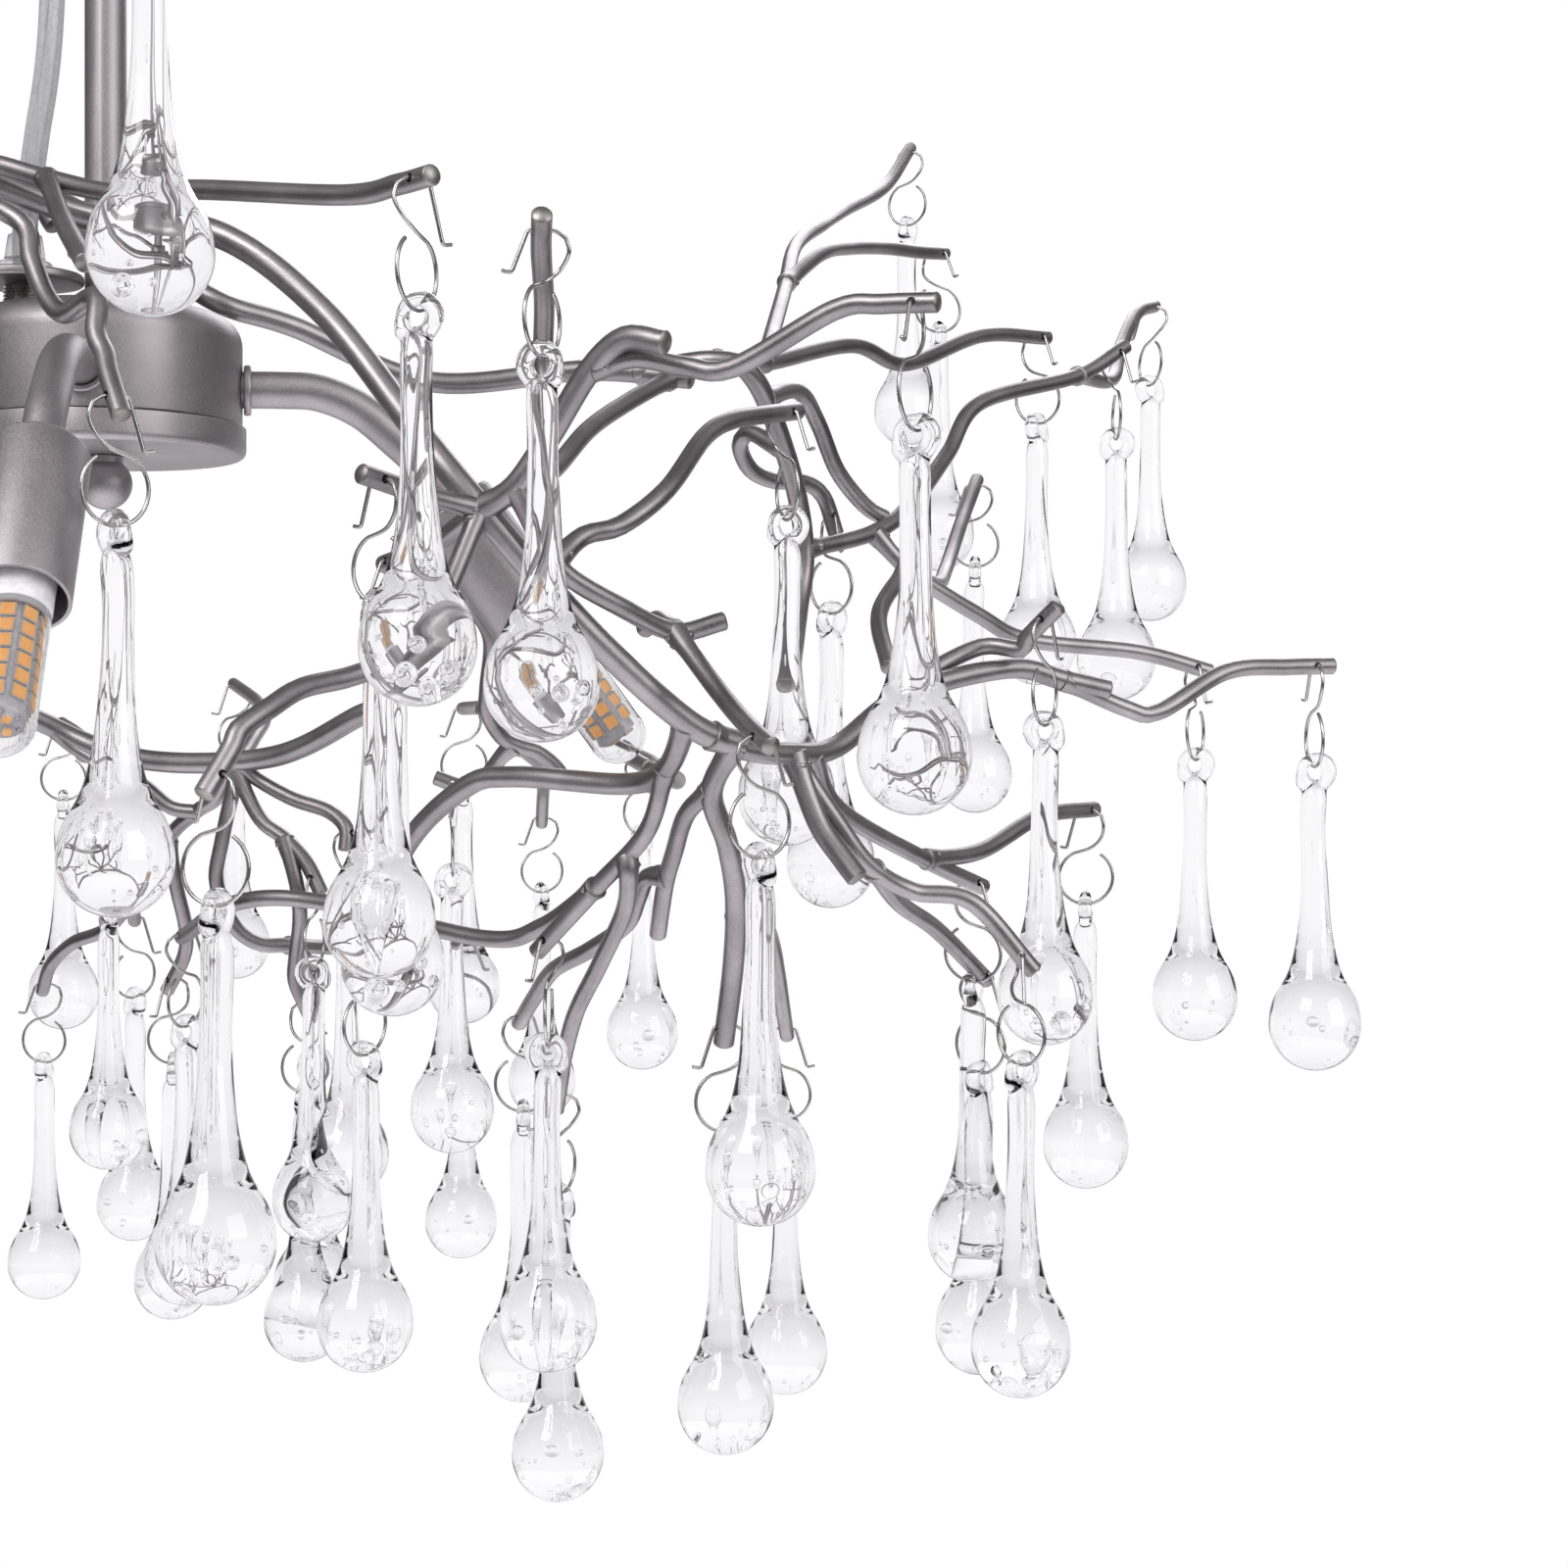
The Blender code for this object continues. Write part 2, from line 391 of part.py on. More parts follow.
# Rods of the right bough: node, rod it is welded to, radius and route from the weld to its far end.
RIGHT_RODS = {
    "main": ("bough_right_trunk", None, TRUNK, [
        (-38, -19, 72), (-25, -21, 69), (3, -23, 59), (37, -31, 53), (65, -40, 32), (89, -50, 2),
        (107, -55, -20), (133, -45, -50), (157, -30, -72), (171, -20, -78)]),
    "main_weld": ("bough_right_trunk", "main", TWIG, [(3, -23, 59), (1.5, -10.6, 59.5)]),
    "spur_left": ("bough_right_trunk", "main", TWIG, [(107, -55, -20), (94, -66, -17.5), (81, -80, -14)]),
    "spur_back": ("bough_right_trunk", "main", TWIG, [(107, -55, -20), (92, -34, -27), (76, -10, -30)]),
    "front_low": ("bough_right_trunk", "main", TWIG, [
        (107, -55, -20), (98, -66, -45), (90, -75, -57), (80, -85, -62.5), (70, -95, -65.7), (64, -102, -70.4),
        (58, -108, -75.7), (54, -111, -81), (52, -113.5, -86), (51.6, -116, -90.6)]),
    "behind": ("bough_right_back", None, LIMB, [
        (3.5, 13.1, 58), (14, 17, 52), (29, 14, 43), (46, 25, 39), (82, 40, 26), (126, 45, 30), (156, 34, 26)]),
    "stem": ("bough_right_back", "behind", LIMB, [
        (140, 41, 29), (163, 34, 31), (174, 38, 26), (184, 60, 3), (188, 70, -19), (186, 64, -38), (183, 32, -62)]),
    "cross_back": ("bough_right_back", "behind", TWIG, [
        (150, 35, 25.5), (139, 18, 17), (129.5, 0, 7), (122, -20, -6), (116, -37, -13)]),
    "back_loop": ("bough_right_back", "stem", TWIG, [
        (178, 42, 22), (186, 58, 26), (192, 74, 19), (198, 84, 6), (206.5, 92.5, -3.5)]),
    "curl": ("bough_right_back", "stem", TWIG, [
        (182, 55, 9), (178, 57, 11), (172, 62, 14.5), (169, 68, 11.5), (172, 76, 5.5), (179, 84, 3),
        (188, 92, 3.5), (194, 96, -0.5), (198, 98, -12)]),
    "back_right": ("bough_right_back", "stem", TWIG, [
        (163, 34, 31), (176, 70, 36), (203, 110, 48), (221, 140, 47), (248, 175, 62), (273, 203, 66)]),
    "upper": ("bough_right_back", "back_right", TWIG, [
        (176, 70, 36), (182, 150, 72), (186, 210, 99), (196, 250, 115), (205, 290, 129), (222, 340, 149),
        (234, 375, 173)]),
    "upper_side": ("bough_right_back", "upper", TWIG, [
        (183, 160, 77), (195, 190, 92.5), (206, 220, 100.5), (219, 250, 106.5), (232, 272, 109.5), (243, 290, 112.5)]),
    "spray_up": ("bough_right_front", "main", LIMB, [
        (107, -55, -20), (116, -61, -15), (125, -65, -3), (135, -70, 12), (144, -75, 19), (154, -80, 17)]),
    "spray_tip": ("bough_right_front", "spray_up", TWIG, [
        (135, -70, 12), (146, -70, 15), (158, -70, 13), (170, -75, 12), (194, -85, 24), (205, -90, 26), (218, -95, 24)]),
    "spray_front": ("bough_right_front", "spray_up", TWIG, [
        (125, -65, -3), (123, -61, 16), (124, -70, 28), (124, -85, 37), (126, -98, 44)]),
    "spray_low": ("bough_right_front", "spray_up", TWIG, [
        (116, -61, -15), (122, -57, -28), (128, -53, -36), (140, -46, -43), (154, -33, -49), (167, -30, -46)]),
    "spray_mid": ("bough_right_front", "spray_low", TWIG, [
        (124, -53, -33), (132, -49, -26), (141, -45, -23), (152, -35, -13), (161, -15, 3), (168, -4, 9),
        (177, 10, 12.5), (186, 24, 15.5)]),
    "cross_twig": ("bough_right_front", "spray_low", TWIG, [
        (154, -33, -49), (165, -45, -64), (172, -57, -75), (179, -68, -79)]),
    "cross_stub": ("bough_right_front", "spray_low", TWIG, [(154, -33, -49), (149, -18, -45), (145, -9, -47)]),
    "far_up": ("bough_right_far", "stem", TWIG, [
        (188, 70, -19), (209, 90, -12), (221, 106, -2), (234, 132, 17), (246, 150, 36), (281, 185, 50), (300, 202, 63)]),
    "far_fork": ("bough_right_far", "far_up", TWIG, [
        (281, 185, 50), (297, 220, 54), (304, 250, 70), (314, 280, 88), (324, 303, 95)]),
    "far_out": ("bough_right_far", "far_up", TWIG, [
        (209, 90, -12), (221, 92, -24), (242, 105, -36), (258, 115, -43), (294, 130, -46), (319, 139, -52)]),
    "far_back": ("bough_right_far", "far_out", TWIG, [
        (221, 92, -24), (231, 140, -24), (237, 190, -15), (245, 230, 5), (253, 262, 24)]),
    "far_link": ("bough_right_far", "far_out", TWIG, [(219, 91, -23), (210, 68, -38), (212, 44, -55)]),
    "low_main": ("bough_right_low", "main", LIMB, [
        (163, -26, -75), (172, -19, -79), (183, -9, -80), (196, 6, -78), (216, 25, -63), (246, 45, -55),
        (262, 51, -58), (276, 54, -61)]),
    "low_stub": ("bough_right_low", "low_main", LIMB, [
        (186, -9, -84), (191, -10, -98), (197, -12, -107), (201.5, -14, -113)]),
    "low_tip": ("bough_right_low", "low_main", TWIG, [
        (262, 51, -58), (281, 57, -66), (291, 60, -67), (312, 68, -55), (345, 74, -53)]),
    "low_mid": ("bough_right_low", "low_main", TWIG, [
        (216, 25, -63), (222, 36, -57), (238, 42, -49), (249, 38, -50), (255, 34, -46), (259, 30, -38)]),
    "low_back": ("bough_right_low", "low_main", TWIG, [
        (190, -2, -80), (197, 14, -95), (223, 60, -110), (242, 84, -119)]),
    "low_back_tip": ("bough_right_low", "low_back", TWIG, [
        (223, 60, -110), (241, 82, -108), (261, 105, -98), (281, 132, -96)]),
    "low_down": ("bough_right_low", "low_main", TWIG, [
        (184, -8, -80), (196, -6, -98), (205, -2, -110), (217, 5, -117), (233, 6, -120), (250, 7, -139)]),
    "low_down_back": ("bough_right_low", "low_down", TWIG, [
        (205, 1, -110), (214, 24, -121), (226, 50, -130), (243, 85, -147)]),
    "inner_main": ("bough_low_left", "main", LIMB, [
        (157, -30, -72), (151, -14, -84), (139, 4, -88), (108, 20, -86), (93, 28, -89), (74, 40, -107), (61, 42, -141)]),
    "behind_low": ("bough_low_left", "inner_main", TWIG, [
        (150, -12, -84), (152, 30, -87), (141.5, 100, -83.5), (128, 135, -76.7)]),
    "behind_far": ("bough_low_left", "behind_low", TWIG, [
        (141.5, 100, -83.5), (138.5, 180, -81.4), (132.2, 250, -79), (127.3, 308, -77.4)]),
    "inner_low": ("bough_low_left", "inner_main", TWIG, [
        (151, -14, -84), (145, 0, -101), (131, 12, -116), (113, 25, -135)]),
    "inner_long": ("bough_low_left", "inner_low", TWIG, [
        (131, 12, -116), (114, 32, -128), (96, 45, -132), (45, 75, -123), (16, 92, -124), (-14, 151, -138)]),
    "down_long": ("bough_low_left", "inner_low", TWIG, [
        (139.8, 3, -110), (140, 5, -113), (138, 18, -123), (130, 35, -139), (122, 52, -154), (117, 66, -170),
        (114.3, 74, -185)]),
    "down_front": ("bough_low_down", "main", LIMB, [
        (169, -21, -78), (163, -15, -90), (167, -8, -104), (169, 4, -119), (168, 20, -138), (165, 34, -161)]),
    "down_back": ("bough_low_down", "down_front", TWIG, [
        (168, 8, -124), (172, 50, -127), (178, 95, -135), (183, 162, -171)]),
    "down_stub": ("bough_low_down", "down_front", TWIG, [
        (163, -15, -89), (156, -3, -96), (152, 12, -106.7), (149, 25, -116), (146, 45, -131)]),
    "down_left": ("bough_low_down", "down_stub", TWIG, [
        (148.5, 22, -113), (144, 27, -114), (141, 34, -120), (137, 44, -128), (125, 62, -136.6), (113, 82, -143.7),
        (105.5, 100, -153.4), (99, 118, -163)]),
    "high_front": ("bough_front_twigs", "main", TWIG, [
        (-38, -19, 72), (-24, -29, 72), (-5, -36, 66), (15, -47, 60), (38, -60, 58), (79, -90, 50), (103, -115, 49)]),
    "drop_link": ("bough_front_twigs", "high_front", TWIG, [(-6, -36, 66), (5, -60, 50), (17, -85, 35)]),
    "front_curl": ("bough_front_twigs", "high_front", TWIG, [
        (-26, -28, 72), (-36, -45, 66), (-22, -62, 58), (-4, -65, 49), (0, -70, 39), (5, -75, 29), (10.7, -80, 24),
        (17.6, -85, 26.5), (21, -89, 26), (21.8, -94, 17), (24.7, -97, 11.4), (28, -101, 4.5), (30.8, -106, -4)]),
    "front_high": ("bough_front_twigs", "front_curl", TWIG, [
        (-35, -44, 66), (-48, -66, 92), (-30, -98, 122), (10, -128, 137), (53, -153, 129.3)]),
}

# The back bough, on the far side of the hub, and its twigs.
BACK_RODS = {
    "back_main": ("bough_back", None, TRUNK, [
        (-5.8, 12.9, 62.5), (-14, 16, 70), (-32, 24, 75), (-72, 60, 62), (-108, 118, 5), (-100, 168, -45),
        (-66, 190, -69), (-32, 180, -80), (14, 160, -79), (46, 139, -66), (56, 135, -62), (70, 128, -48),
        (83, 120, -30), (89, 113, -20)]),
    "back_arch": ("bough_back", "back_main", TWIG, [
        (83, 120, -30), (89.6, 122, -42), (88, 128, -57), (87.5, 132, -65), (91.5, 138, -73), (97, 142, -76),
        (102, 145, -77.5), (107.5, 148, -82), (111, 150, -87)]),
    "back_arch_left": ("bough_back", "back_arch", TWIG, [
        (95, 141, -76), (91, 143, -79), (85, 146, -86), (78.5, 148, -89), (68.8, 148, -85.8)]),
    "back_arch_down": ("bough_back", "back_arch", TWIG, [
        (97, 142, -76), (99.5, 200, -82), (95.5, 264, -84), (88.5, 320, -89), (84, 360, -104)]),
    "back_arch_tip": ("bough_back", "back_arch", TWIG, [
        (87.5, 131, -64), (82, 170, -62.6), (72, 240, -60.6), (59.3, 300, -59.2)]),
    "back_down": ("bough_back", "back_main", TWIG, [
        (1.5, 168, -80), (-0.8, 168, -90), (-3.1, 170, -98), (-5.5, 172, -107.6), (-8, 175, -119), (-6, 178, -129),
        (-1.6, 180, -137.4), (6.2, 182, -142.2), (16.3, 185, -143), (21.2, 187, -149.5), (25.5, 189, -156.6)]),
    "back_far": ("bough_back", "back_down", TWIG, [(14, 185, -143), (30, 225, -146), (46, 258, -147), (61, 303, -149)]),
    "back_low": ("bough_back", "back_main", TWIG, [
        (1.5, 168, -80), (7.5, 167, -86.4), (20, 164, -93), (32, 162, -97), (38, 160, -102.5), (38, 159, -110)]),
    "back_right_down": ("bough_back", "back_down", TWIG, [
        (1, 167, -84), (8.8, 164, -99.3), (17.3, 162, -105.8), (24.8, 160, -113.8), (30.3, 158, -124)]),
    "back_right_long": ("bough_back", "back_right_down", TWIG, [
        (17.3, 162, -105.8), (20, 160, -114), (22.2, 160, -123.4), (22.1, 164, -133.3), (19.7, 170, -145),
        (18.6, 174, -153.5), (21, 177, -161), (23, 180, -167)]),
    "back_left": ("bough_back", "back_main", TWIG, [
        (0, 168, -81), (-7, 174, -92), (-16.2, 182, -97.3), (-29.7, 200, -106.5), (-46.6, 225, -126),
        (-62, 245, -140), (-79.8, 265, -146.5), (-93.7, 285, -156), (-101.7, 302, -167.5)]),
    "back_left_down": ("bough_back", "back_left", TWIG, [
        (-29.7, 200, -107), (-28.3, 206, -123.6), (-26.6, 212, -137.5), (-28.3, 218, -148), (-36.4, 226, -161.5)]),
    "back_left_far": ("bough_back", "back_left", TWIG, [(-48, 227, -127), (-54, 250, -132), (-60, 276, -139)]),
    "back_under": ("bough_back", "back_main", TWIG, [
        (-66, 190, -69), (-59.7, 190, -75.3), (-47.5, 188, -82), (-35, 184, -88), (-24.5, 182, -96), (-15, 181, -97.5)]),
    "back_under_tip": ("bough_back", "back_under", TWIG, [(-46, 188, -83), (-53, 206, -91), (-56.7, 227, -108)]),
    "back_far_left": ("bough_back", "back_under", TWIG, [
        (-56, 189, -78), (-68, 240, -74), (-85, 290, -69), (-103, 334, -64)]),
    "back_out": ("bough_back", "back_main", TWIG, [
        (2, 166, -80.9), (-3.7, 215, -72.6), (-9.4, 265, -63.8), (-23, 320, -56), (-43.7, 375, -46.9)]),
    "back_side": ("bough_back", "back_main", TWIG, [(-106, 145, -25), (-140, 160, -20), (-176, 168, -32)]),
}

# The left bough takes these rods of the right one, turned about the rod, in three nodes.
LEFT_NODES = {
    "bough_left_trunk": ("main", "spray_up", "spray_tip", "spray_front", "spray_low", "spray_mid", "cross_twig",
                         "low_main", "low_tip", "low_mid", "low_back", "low_back_tip", "low_down"),
    "bough_left_back": ("behind", "stem", "back_right", "upper", "far_up", "far_fork", "far_out", "far_back"),
    "bough_left_low": ("inner_main", "inner_low"),
}
LEFT_MAIN_START = [(-13.8, 3.2, 62.5), (-22, 6, 73), (-40, 11, 74)]
LEFT_BEHIND_START = [(-36, 10, 75), (-38, -12, 58)]


def turned_route(route, angle):
    turn = Matrix.Rotation(angle, 3, "Z")
    return [tuple(turn @ Vector(p)) for p in route]


def left_rods():
    rods = {}
    for node, names in LEFT_NODES.items():
        for name in names:
            _, parent, radius, route = RIGHT_RODS[name]
            parent = f"left_{parent}" if parent else None
            route = turned_route(route, LEFT_TURN)
            if name == "main":
                route = LEFT_MAIN_START + route[4:]
            if name == "behind":
                parent, route = "left_main", LEFT_BEHIND_START + route[3:]
            rods[f"left_{name}"] = (node, parent, radius, route)
    return rods


def nearest_on(route, point):
    """The nearest point to a given one on a route of points."""
    best = None
    for a, b in zip(route, route[1:]):
        span = b - a
        t = min(1.0, max(0.0, (point - a).dot(span) / max(span.length_squared, 1e-9)))
        here = a + span * t
        if best is None or (here - point).length < (best - point).length:
            best = here
    return best


def lay_rods(rods):
    """Bend every rod: its start is on the axis of the rod it is welded to, or just clear of other nodes."""
    laid = {}
    waiting = dict(rods)
    while waiting:
        name = next(n for n, rod in waiting.items() if rod[1] is None or rod[1] in laid)
        node, parent, radius, route = waiting.pop(name)
        points = [Vector(p) for p in route]
        if parent:
            points[0] = nearest_on(laid[parent][2], points[0])
        fine = smooth_route(points, 2.0)
        others = [rod for rod in laid.values() if rod[0] != node]
        while parent and laid[parent][0] != node and any(
                (nearest_on(rod[2], fine[0]) - fine[0]).length < rod[1] + radius + 1.4 * GAP for rod in others):
            fine.pop(0)
        length = sum((b - a).length for a, b in zip(fine, fine[1:]))
        count = max(2, round(length / ROD_STEP))
        laid[name] = (node, radius, thin_out(fine, count))
    return laid


def thin_out(route, count):
    """Keep about count stretches of a fine route, evenly along it."""
    return [route[round(i * (len(route) - 1) / count)] for i in range(count + 1)]


def tip_of(laid, name):
    """The hook's hole near a rod's far end, and the direction of the rod there."""
    route = laid[name][2]
    direction = (route[-1] - route[-2]).normalized()
    return route[-1] - direction * HOLE_FROM_TIP, direction


def hook_turn(direction):
    """The hole runs level and square to the twig: the turn about Z that brings X onto it."""
    across = direction.cross(Vector((0.0, 0.0, 1.0)))
    return math.atan2(across.y, across.x)


def make_boughs(laid):
    by_node = {}
    for name, (node, radius, route) in laid.items():
        by_node.setdefault(node, []).append((name, radius, route))
    for node, rods in by_node.items():
        roundness = 2 if rods[0][1] > LIMB else 1
        first, *rest = rods
        bough = wire(node, [place(*p) for p in first[2]], first[1], PEWTER, roundness)
        twigs = [wire(name, [place(*p) for p in route], radius, PEWTER, 1, CUTTERS) for name, radius, route in rest]
        combine(bough, twigs, "UNION")
        drills = []
        for name, _, _ in rods:
            if name in PENDANTS.values():
                hole, direction = tip_of(laid, name)
                drill = cylinder("drill", HOLE_RADIUS, -5.0, 5.0, 8)
                turn = Matrix.Rotation(hook_turn(direction), 4, "Z") @ Matrix.Rotation(math.pi / 2, 4, "Y")
                drill.matrix_world = Matrix.Translation(place(*hole)) @ turn
                drills.append(drill)
        if drills:
            combine(bough, drills, "DIFFERENCE")
        shade_round(bough.data, 60.0)


# ---------------------------------------------------------------- hooks and drops

# Number of each hanging drop and the rod that carries it.
PENDANTS = {1: "front_high", 2: "high_front", 3: "spray_front", 4: "front_curl", 5: "spray_tip",
            6: "down_long", 7: "front_low", 8: "cross_twig", 9: "low_mid", 10: "low_tip"}
# How each hook is bent by hand: the side its foot is on, the length of its leg, and the turn of its ring.
HOOK_BENDS = {1: (1, 10.0, 0.0), 2: (-1, 14.0, 26.0), 3: (1, 10.0, 62.0), 4: (-1, 12.5, 7.0), 5: (1, 9.9, -5.0),
              6: (-1, 10.0, 43.0), 7: (1, 11.0, 23.0), 8: (-1, 12.0, 3.0), 9: (-1, 11.0, 11.0), 10: (-1, 10.0, -2.0)}


def hook_route(side, leg, turn):
    """The bent wire: a foot, a leg up to the hole, through it, a swan neck down and round a ring."""
    ring_turn, half_turn = Matrix.Rotation(math.radians(turn), 3, "Z"), Matrix.Rotation(math.radians(turn / 2), 3, "Z")
    route = [Vector(p) for p in ((9.6, 0.0, 0.3 - leg), (7.0, 0.0, -leg), (3.2, 0.0, 0.0), (-3.2, 0.0, 0.0),
                                 (-5.6, 0.0, -1.7), (-6.4, 0.0, -5.0))]
    route += [half_turn @ Vector((-5.0, 0.0, -8.8)), ring_turn @ Vector((-1.6, -0.3, -11.9))]
    for i in range(2, RING_POINTS):
        angle = math.radians(RING_TOP - RING_STEP * i)
        point = (RING_RADIUS * math.cos(angle), 0.9 * i / RING_POINTS - 0.3, RING_CENTRE + RING_RADIUS * math.sin(angle))
        route.append(ring_turn @ Vector(point))
    return [Vector((side * p.x, side * p.y, p.z)) * MM for p in route]


def drop_profile():
    """Half outline of a drop from its neck down, heights from the middle of the ball."""
    neck = [(2.2, 71.2), (3.7, 68.0), (3.6, 52.0), (4.4, 34.0), (5.7, 23.5), (8.0, 15.0)]
    ball = arc(0.0, 0.0, BALL_RADIUS, 25, -90, 5)
    return [(0.0, 71.2), *neck, *ball[:-1], (0.0, -BALL_RADIUS)]


def make_pendants(laid):
    ring_bottom = RING_CENTRE - RING_RADIUS
    eye_centre = ring_bottom + WIRE_RADIUS + 1.2 * GAP - (EYE_MAJOR - EYE_MINOR)
    shape = turned("drop_shape", drop_profile(), 10, GLASS, collection=CUTTERS)
    bpy.ops.mesh.primitive_torus_add(major_segments=10, minor_segments=5, major_radius=EYE_MAJOR * MM,
                                     minor_radius=EYE_MINOR * MM, rotation=(0.0, math.pi / 2, 0.0),
                                     location=(0.0, 0.0, EYE_ABOVE_BALL * MM))
    combine(shape, [bpy.context.active_object], "UNION")
    shade_round(shape.data, 50.0)
    shape.data.transform(Matrix.Translation((0.0, 0.0, (eye_centre - ring_bottom - EYE_ABOVE_BALL) * MM)))
    drop_mesh = shape.data
    for guide in list(CUTTERS.objects):
        bpy.data.objects.remove(guide, do_unlink=True)
    for number, rod in PENDANTS.items():
        hole, direction = tip_of(laid, rod)
        turn = hook_turn(direction)
        side, leg, ring_turn = HOOK_BENDS[number]
        hook = wire(f"hook_{number:02d}", hook_route(side, leg, ring_turn), WIRE_RADIUS, STEEL)
        hook.location = place(*hole)
        hook.rotation_euler.z = turn
        seat = place(*hole) + Vector((0.0, 0.0, ring_bottom * MM))
        drop = add_object(f"glass_drop_{number:02d}", drop_mesh, GLASS, seat)
        drop.rotation_euler.z = turn + math.radians(ring_turn)


make_ceiling_fitting()
make_hub()
make_gland_and_cable()
for lamp_side, lamp_azimuth in LAMP_AZIMUTHS.items():
    make_lamp(lamp_side, lamp_azimuth)
LAID = lay_rods({**RIGHT_RODS, **BACK_RODS, **left_rods()})
make_boughs(LAID)
make_pendants(LAID)
# Every piece so far is drawn from the hub's underside or from the ceiling: bring the hub's pieces down.
for made in CHANDELIER.objects:
    if not made.name.startswith(("bough_right", "bough_front", "bough_low", "bough_back", "bough_left",
                                 "hook_", "glass_drop_", "supply_cable")):
        made.matrix_world = Matrix.Translation((0.0, 0.0, -HUB_DROP * MM)) @ made.matrix_world
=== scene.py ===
"""Looks of the branch chandelier: lights, camera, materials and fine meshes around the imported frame.

Lengths are in millimetres from the middle of the hub's underside, and MM and FRAME_DROP turn them into
the frame's metres. Bent rods, hooks and drops repeat the routes and sizes of the CAD part.
"""
import json
import math
import random

import bmesh
import bpy
from mathutils import Matrix, Vector, noise


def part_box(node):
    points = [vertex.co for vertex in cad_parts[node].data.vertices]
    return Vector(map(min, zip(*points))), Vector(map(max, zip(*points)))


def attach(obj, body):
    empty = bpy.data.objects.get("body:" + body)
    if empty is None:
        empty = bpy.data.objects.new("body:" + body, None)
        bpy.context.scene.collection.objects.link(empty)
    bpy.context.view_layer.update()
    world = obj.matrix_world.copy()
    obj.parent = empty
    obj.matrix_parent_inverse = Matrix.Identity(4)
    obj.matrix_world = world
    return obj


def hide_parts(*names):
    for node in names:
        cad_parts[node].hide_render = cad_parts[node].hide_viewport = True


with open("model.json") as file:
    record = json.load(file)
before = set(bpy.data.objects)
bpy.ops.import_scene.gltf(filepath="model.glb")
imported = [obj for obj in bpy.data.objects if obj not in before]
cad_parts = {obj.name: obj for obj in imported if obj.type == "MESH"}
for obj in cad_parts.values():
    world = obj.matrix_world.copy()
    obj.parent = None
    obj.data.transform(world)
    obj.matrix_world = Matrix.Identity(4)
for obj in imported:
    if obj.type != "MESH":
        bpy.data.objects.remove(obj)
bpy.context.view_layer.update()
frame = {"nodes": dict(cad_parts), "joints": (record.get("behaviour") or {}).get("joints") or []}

MM = 0.001
HUB_DROP = -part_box("hub_lid")[0][2] / MM       # ceiling to the underside of the hub
RANDOM = random.Random(11)
noise.seed_set(11)

# Sizes shared with the CAD part
ROD_RADIUS, ROD_LOW = 5.5, 12.0
ROD_BELOW_CEILING = 3.3
HUB_RADIUS, HUB_TOP, HUB_WALL, HUB_FILLET = 36.0, 38.0, 1.5, 8.0
LID_RADIUS, LID_HEIGHT, LID_FILLET = 37.0, 8.0, 2.0
COLLAR_RADIUS, COLLAR_LOW, COLLAR_HIGH = 10.0, 53.0, 66.0
CANOPY_RADIUS, CANOPY_DEPTH, CANOPY_WALL, CANOPY_BEND = 56.0, 26.0, 1.2, 20.0
FINIAL_RADIUS, FINIAL_CENTRE = 7.0, -7.4
STUD_RADIUS, STEM_RADIUS = 3.0, 4.6            # of the finial: its stud in the rod, and its foot on the lid
CABLE_RADIUS, CORE_RADIUS, CORE_OFFSET = 3.25, 1.3, 1.5
CORE_TWIST = 420.0                             # length of cable in which its cores turn once
GLAND_X, GLAND_Y, GLAND_HEIGHT = -18.5, -11.0, 10.0
NIPPLE_RADIUS = 4.8
DISC_RADIUS, DISC_THICK, DISC_LOW = 15.2, 2.6, 44.0
CABLE_ROUTE = [(GLAND_X, GLAND_Y, 33.0), (GLAND_X, GLAND_Y, 46.0), (GLAND_X, GLAND_Y, 58.0), (-17.6, -11.1, 68.0),
               (-15.4, -11.4, 82.0), (-11.2, -12.0, 116.0), (-9.0, -13.6, 200.0), (-9.0, -14.0, 300.0),
               (-9.0, -14.0, 330.0)]
LAMP_AZIMUTHS = {"right": 11.0, "front": -85.0, "left": 143.0}
ARM_HEIGHT, ARM_RADIUS = 18.6, 5.0
LAMP_TILT = math.radians(36.0)
SLEEVE_TOP_REACH, SLEEVE_TOP_HEIGHT = 92.0, -11.0
ARM_BEND = [(46.0, 18.9), (56.5, 18.4), (67.6, 14.0), (77.5, 6.0), (84.4, -0.4)]     # reach and height
ARM_FLANGE_RADIUS, ARM_FLANGE_THICK = 6.8, 2.0
SLEEVE_RADIUS, SLEEVE_LENGTH, SLEEVE_WALL = 12.0, 44.0, 1.0
BULB_RADIUS, BULB_LENGTH, BULB_PULL_SEAT = 8.2, 62.0, 24.0
GAP = 0.3                                      # clearance between two pieces
TRUNK, LIMB, TWIG = 3.5, 3.0, 2.5
HOLE_FROM_TIP, HOLE_RADIUS, DRILL_REACH = 6.0, 1.1, 6.0
LEFT_TURN = math.radians(190.0)
WIRE_RADIUS = 0.5
RING_RADIUS, RING_CENTRE = 8.5, -21.2          # height of the ring's middle from the hook's hole
RING_TOP, RING_SWEEP = 112.0, 350.0            # degrees: where the ring starts, and how far round it goes
EYE_MAJOR, EYE_MINOR = 3.85, 1.6
EYE_BLOB = math.radians(318.0)                 # where the end of the pulled loop is fused to the neck
BALL_RADIUS, EYE_ABOVE_BALL = 13.5, 75.0
SEAM_LOW, SEAM_HIGH = 66.0, 73.5               # heights between which the eye flows into the neck
FLOOR_LEVEL, FLOOR_RADIUS, FLOOR_THICK = -1900.0, 2600.0, 10.0


# ---------------------------------------------------------------- small tools

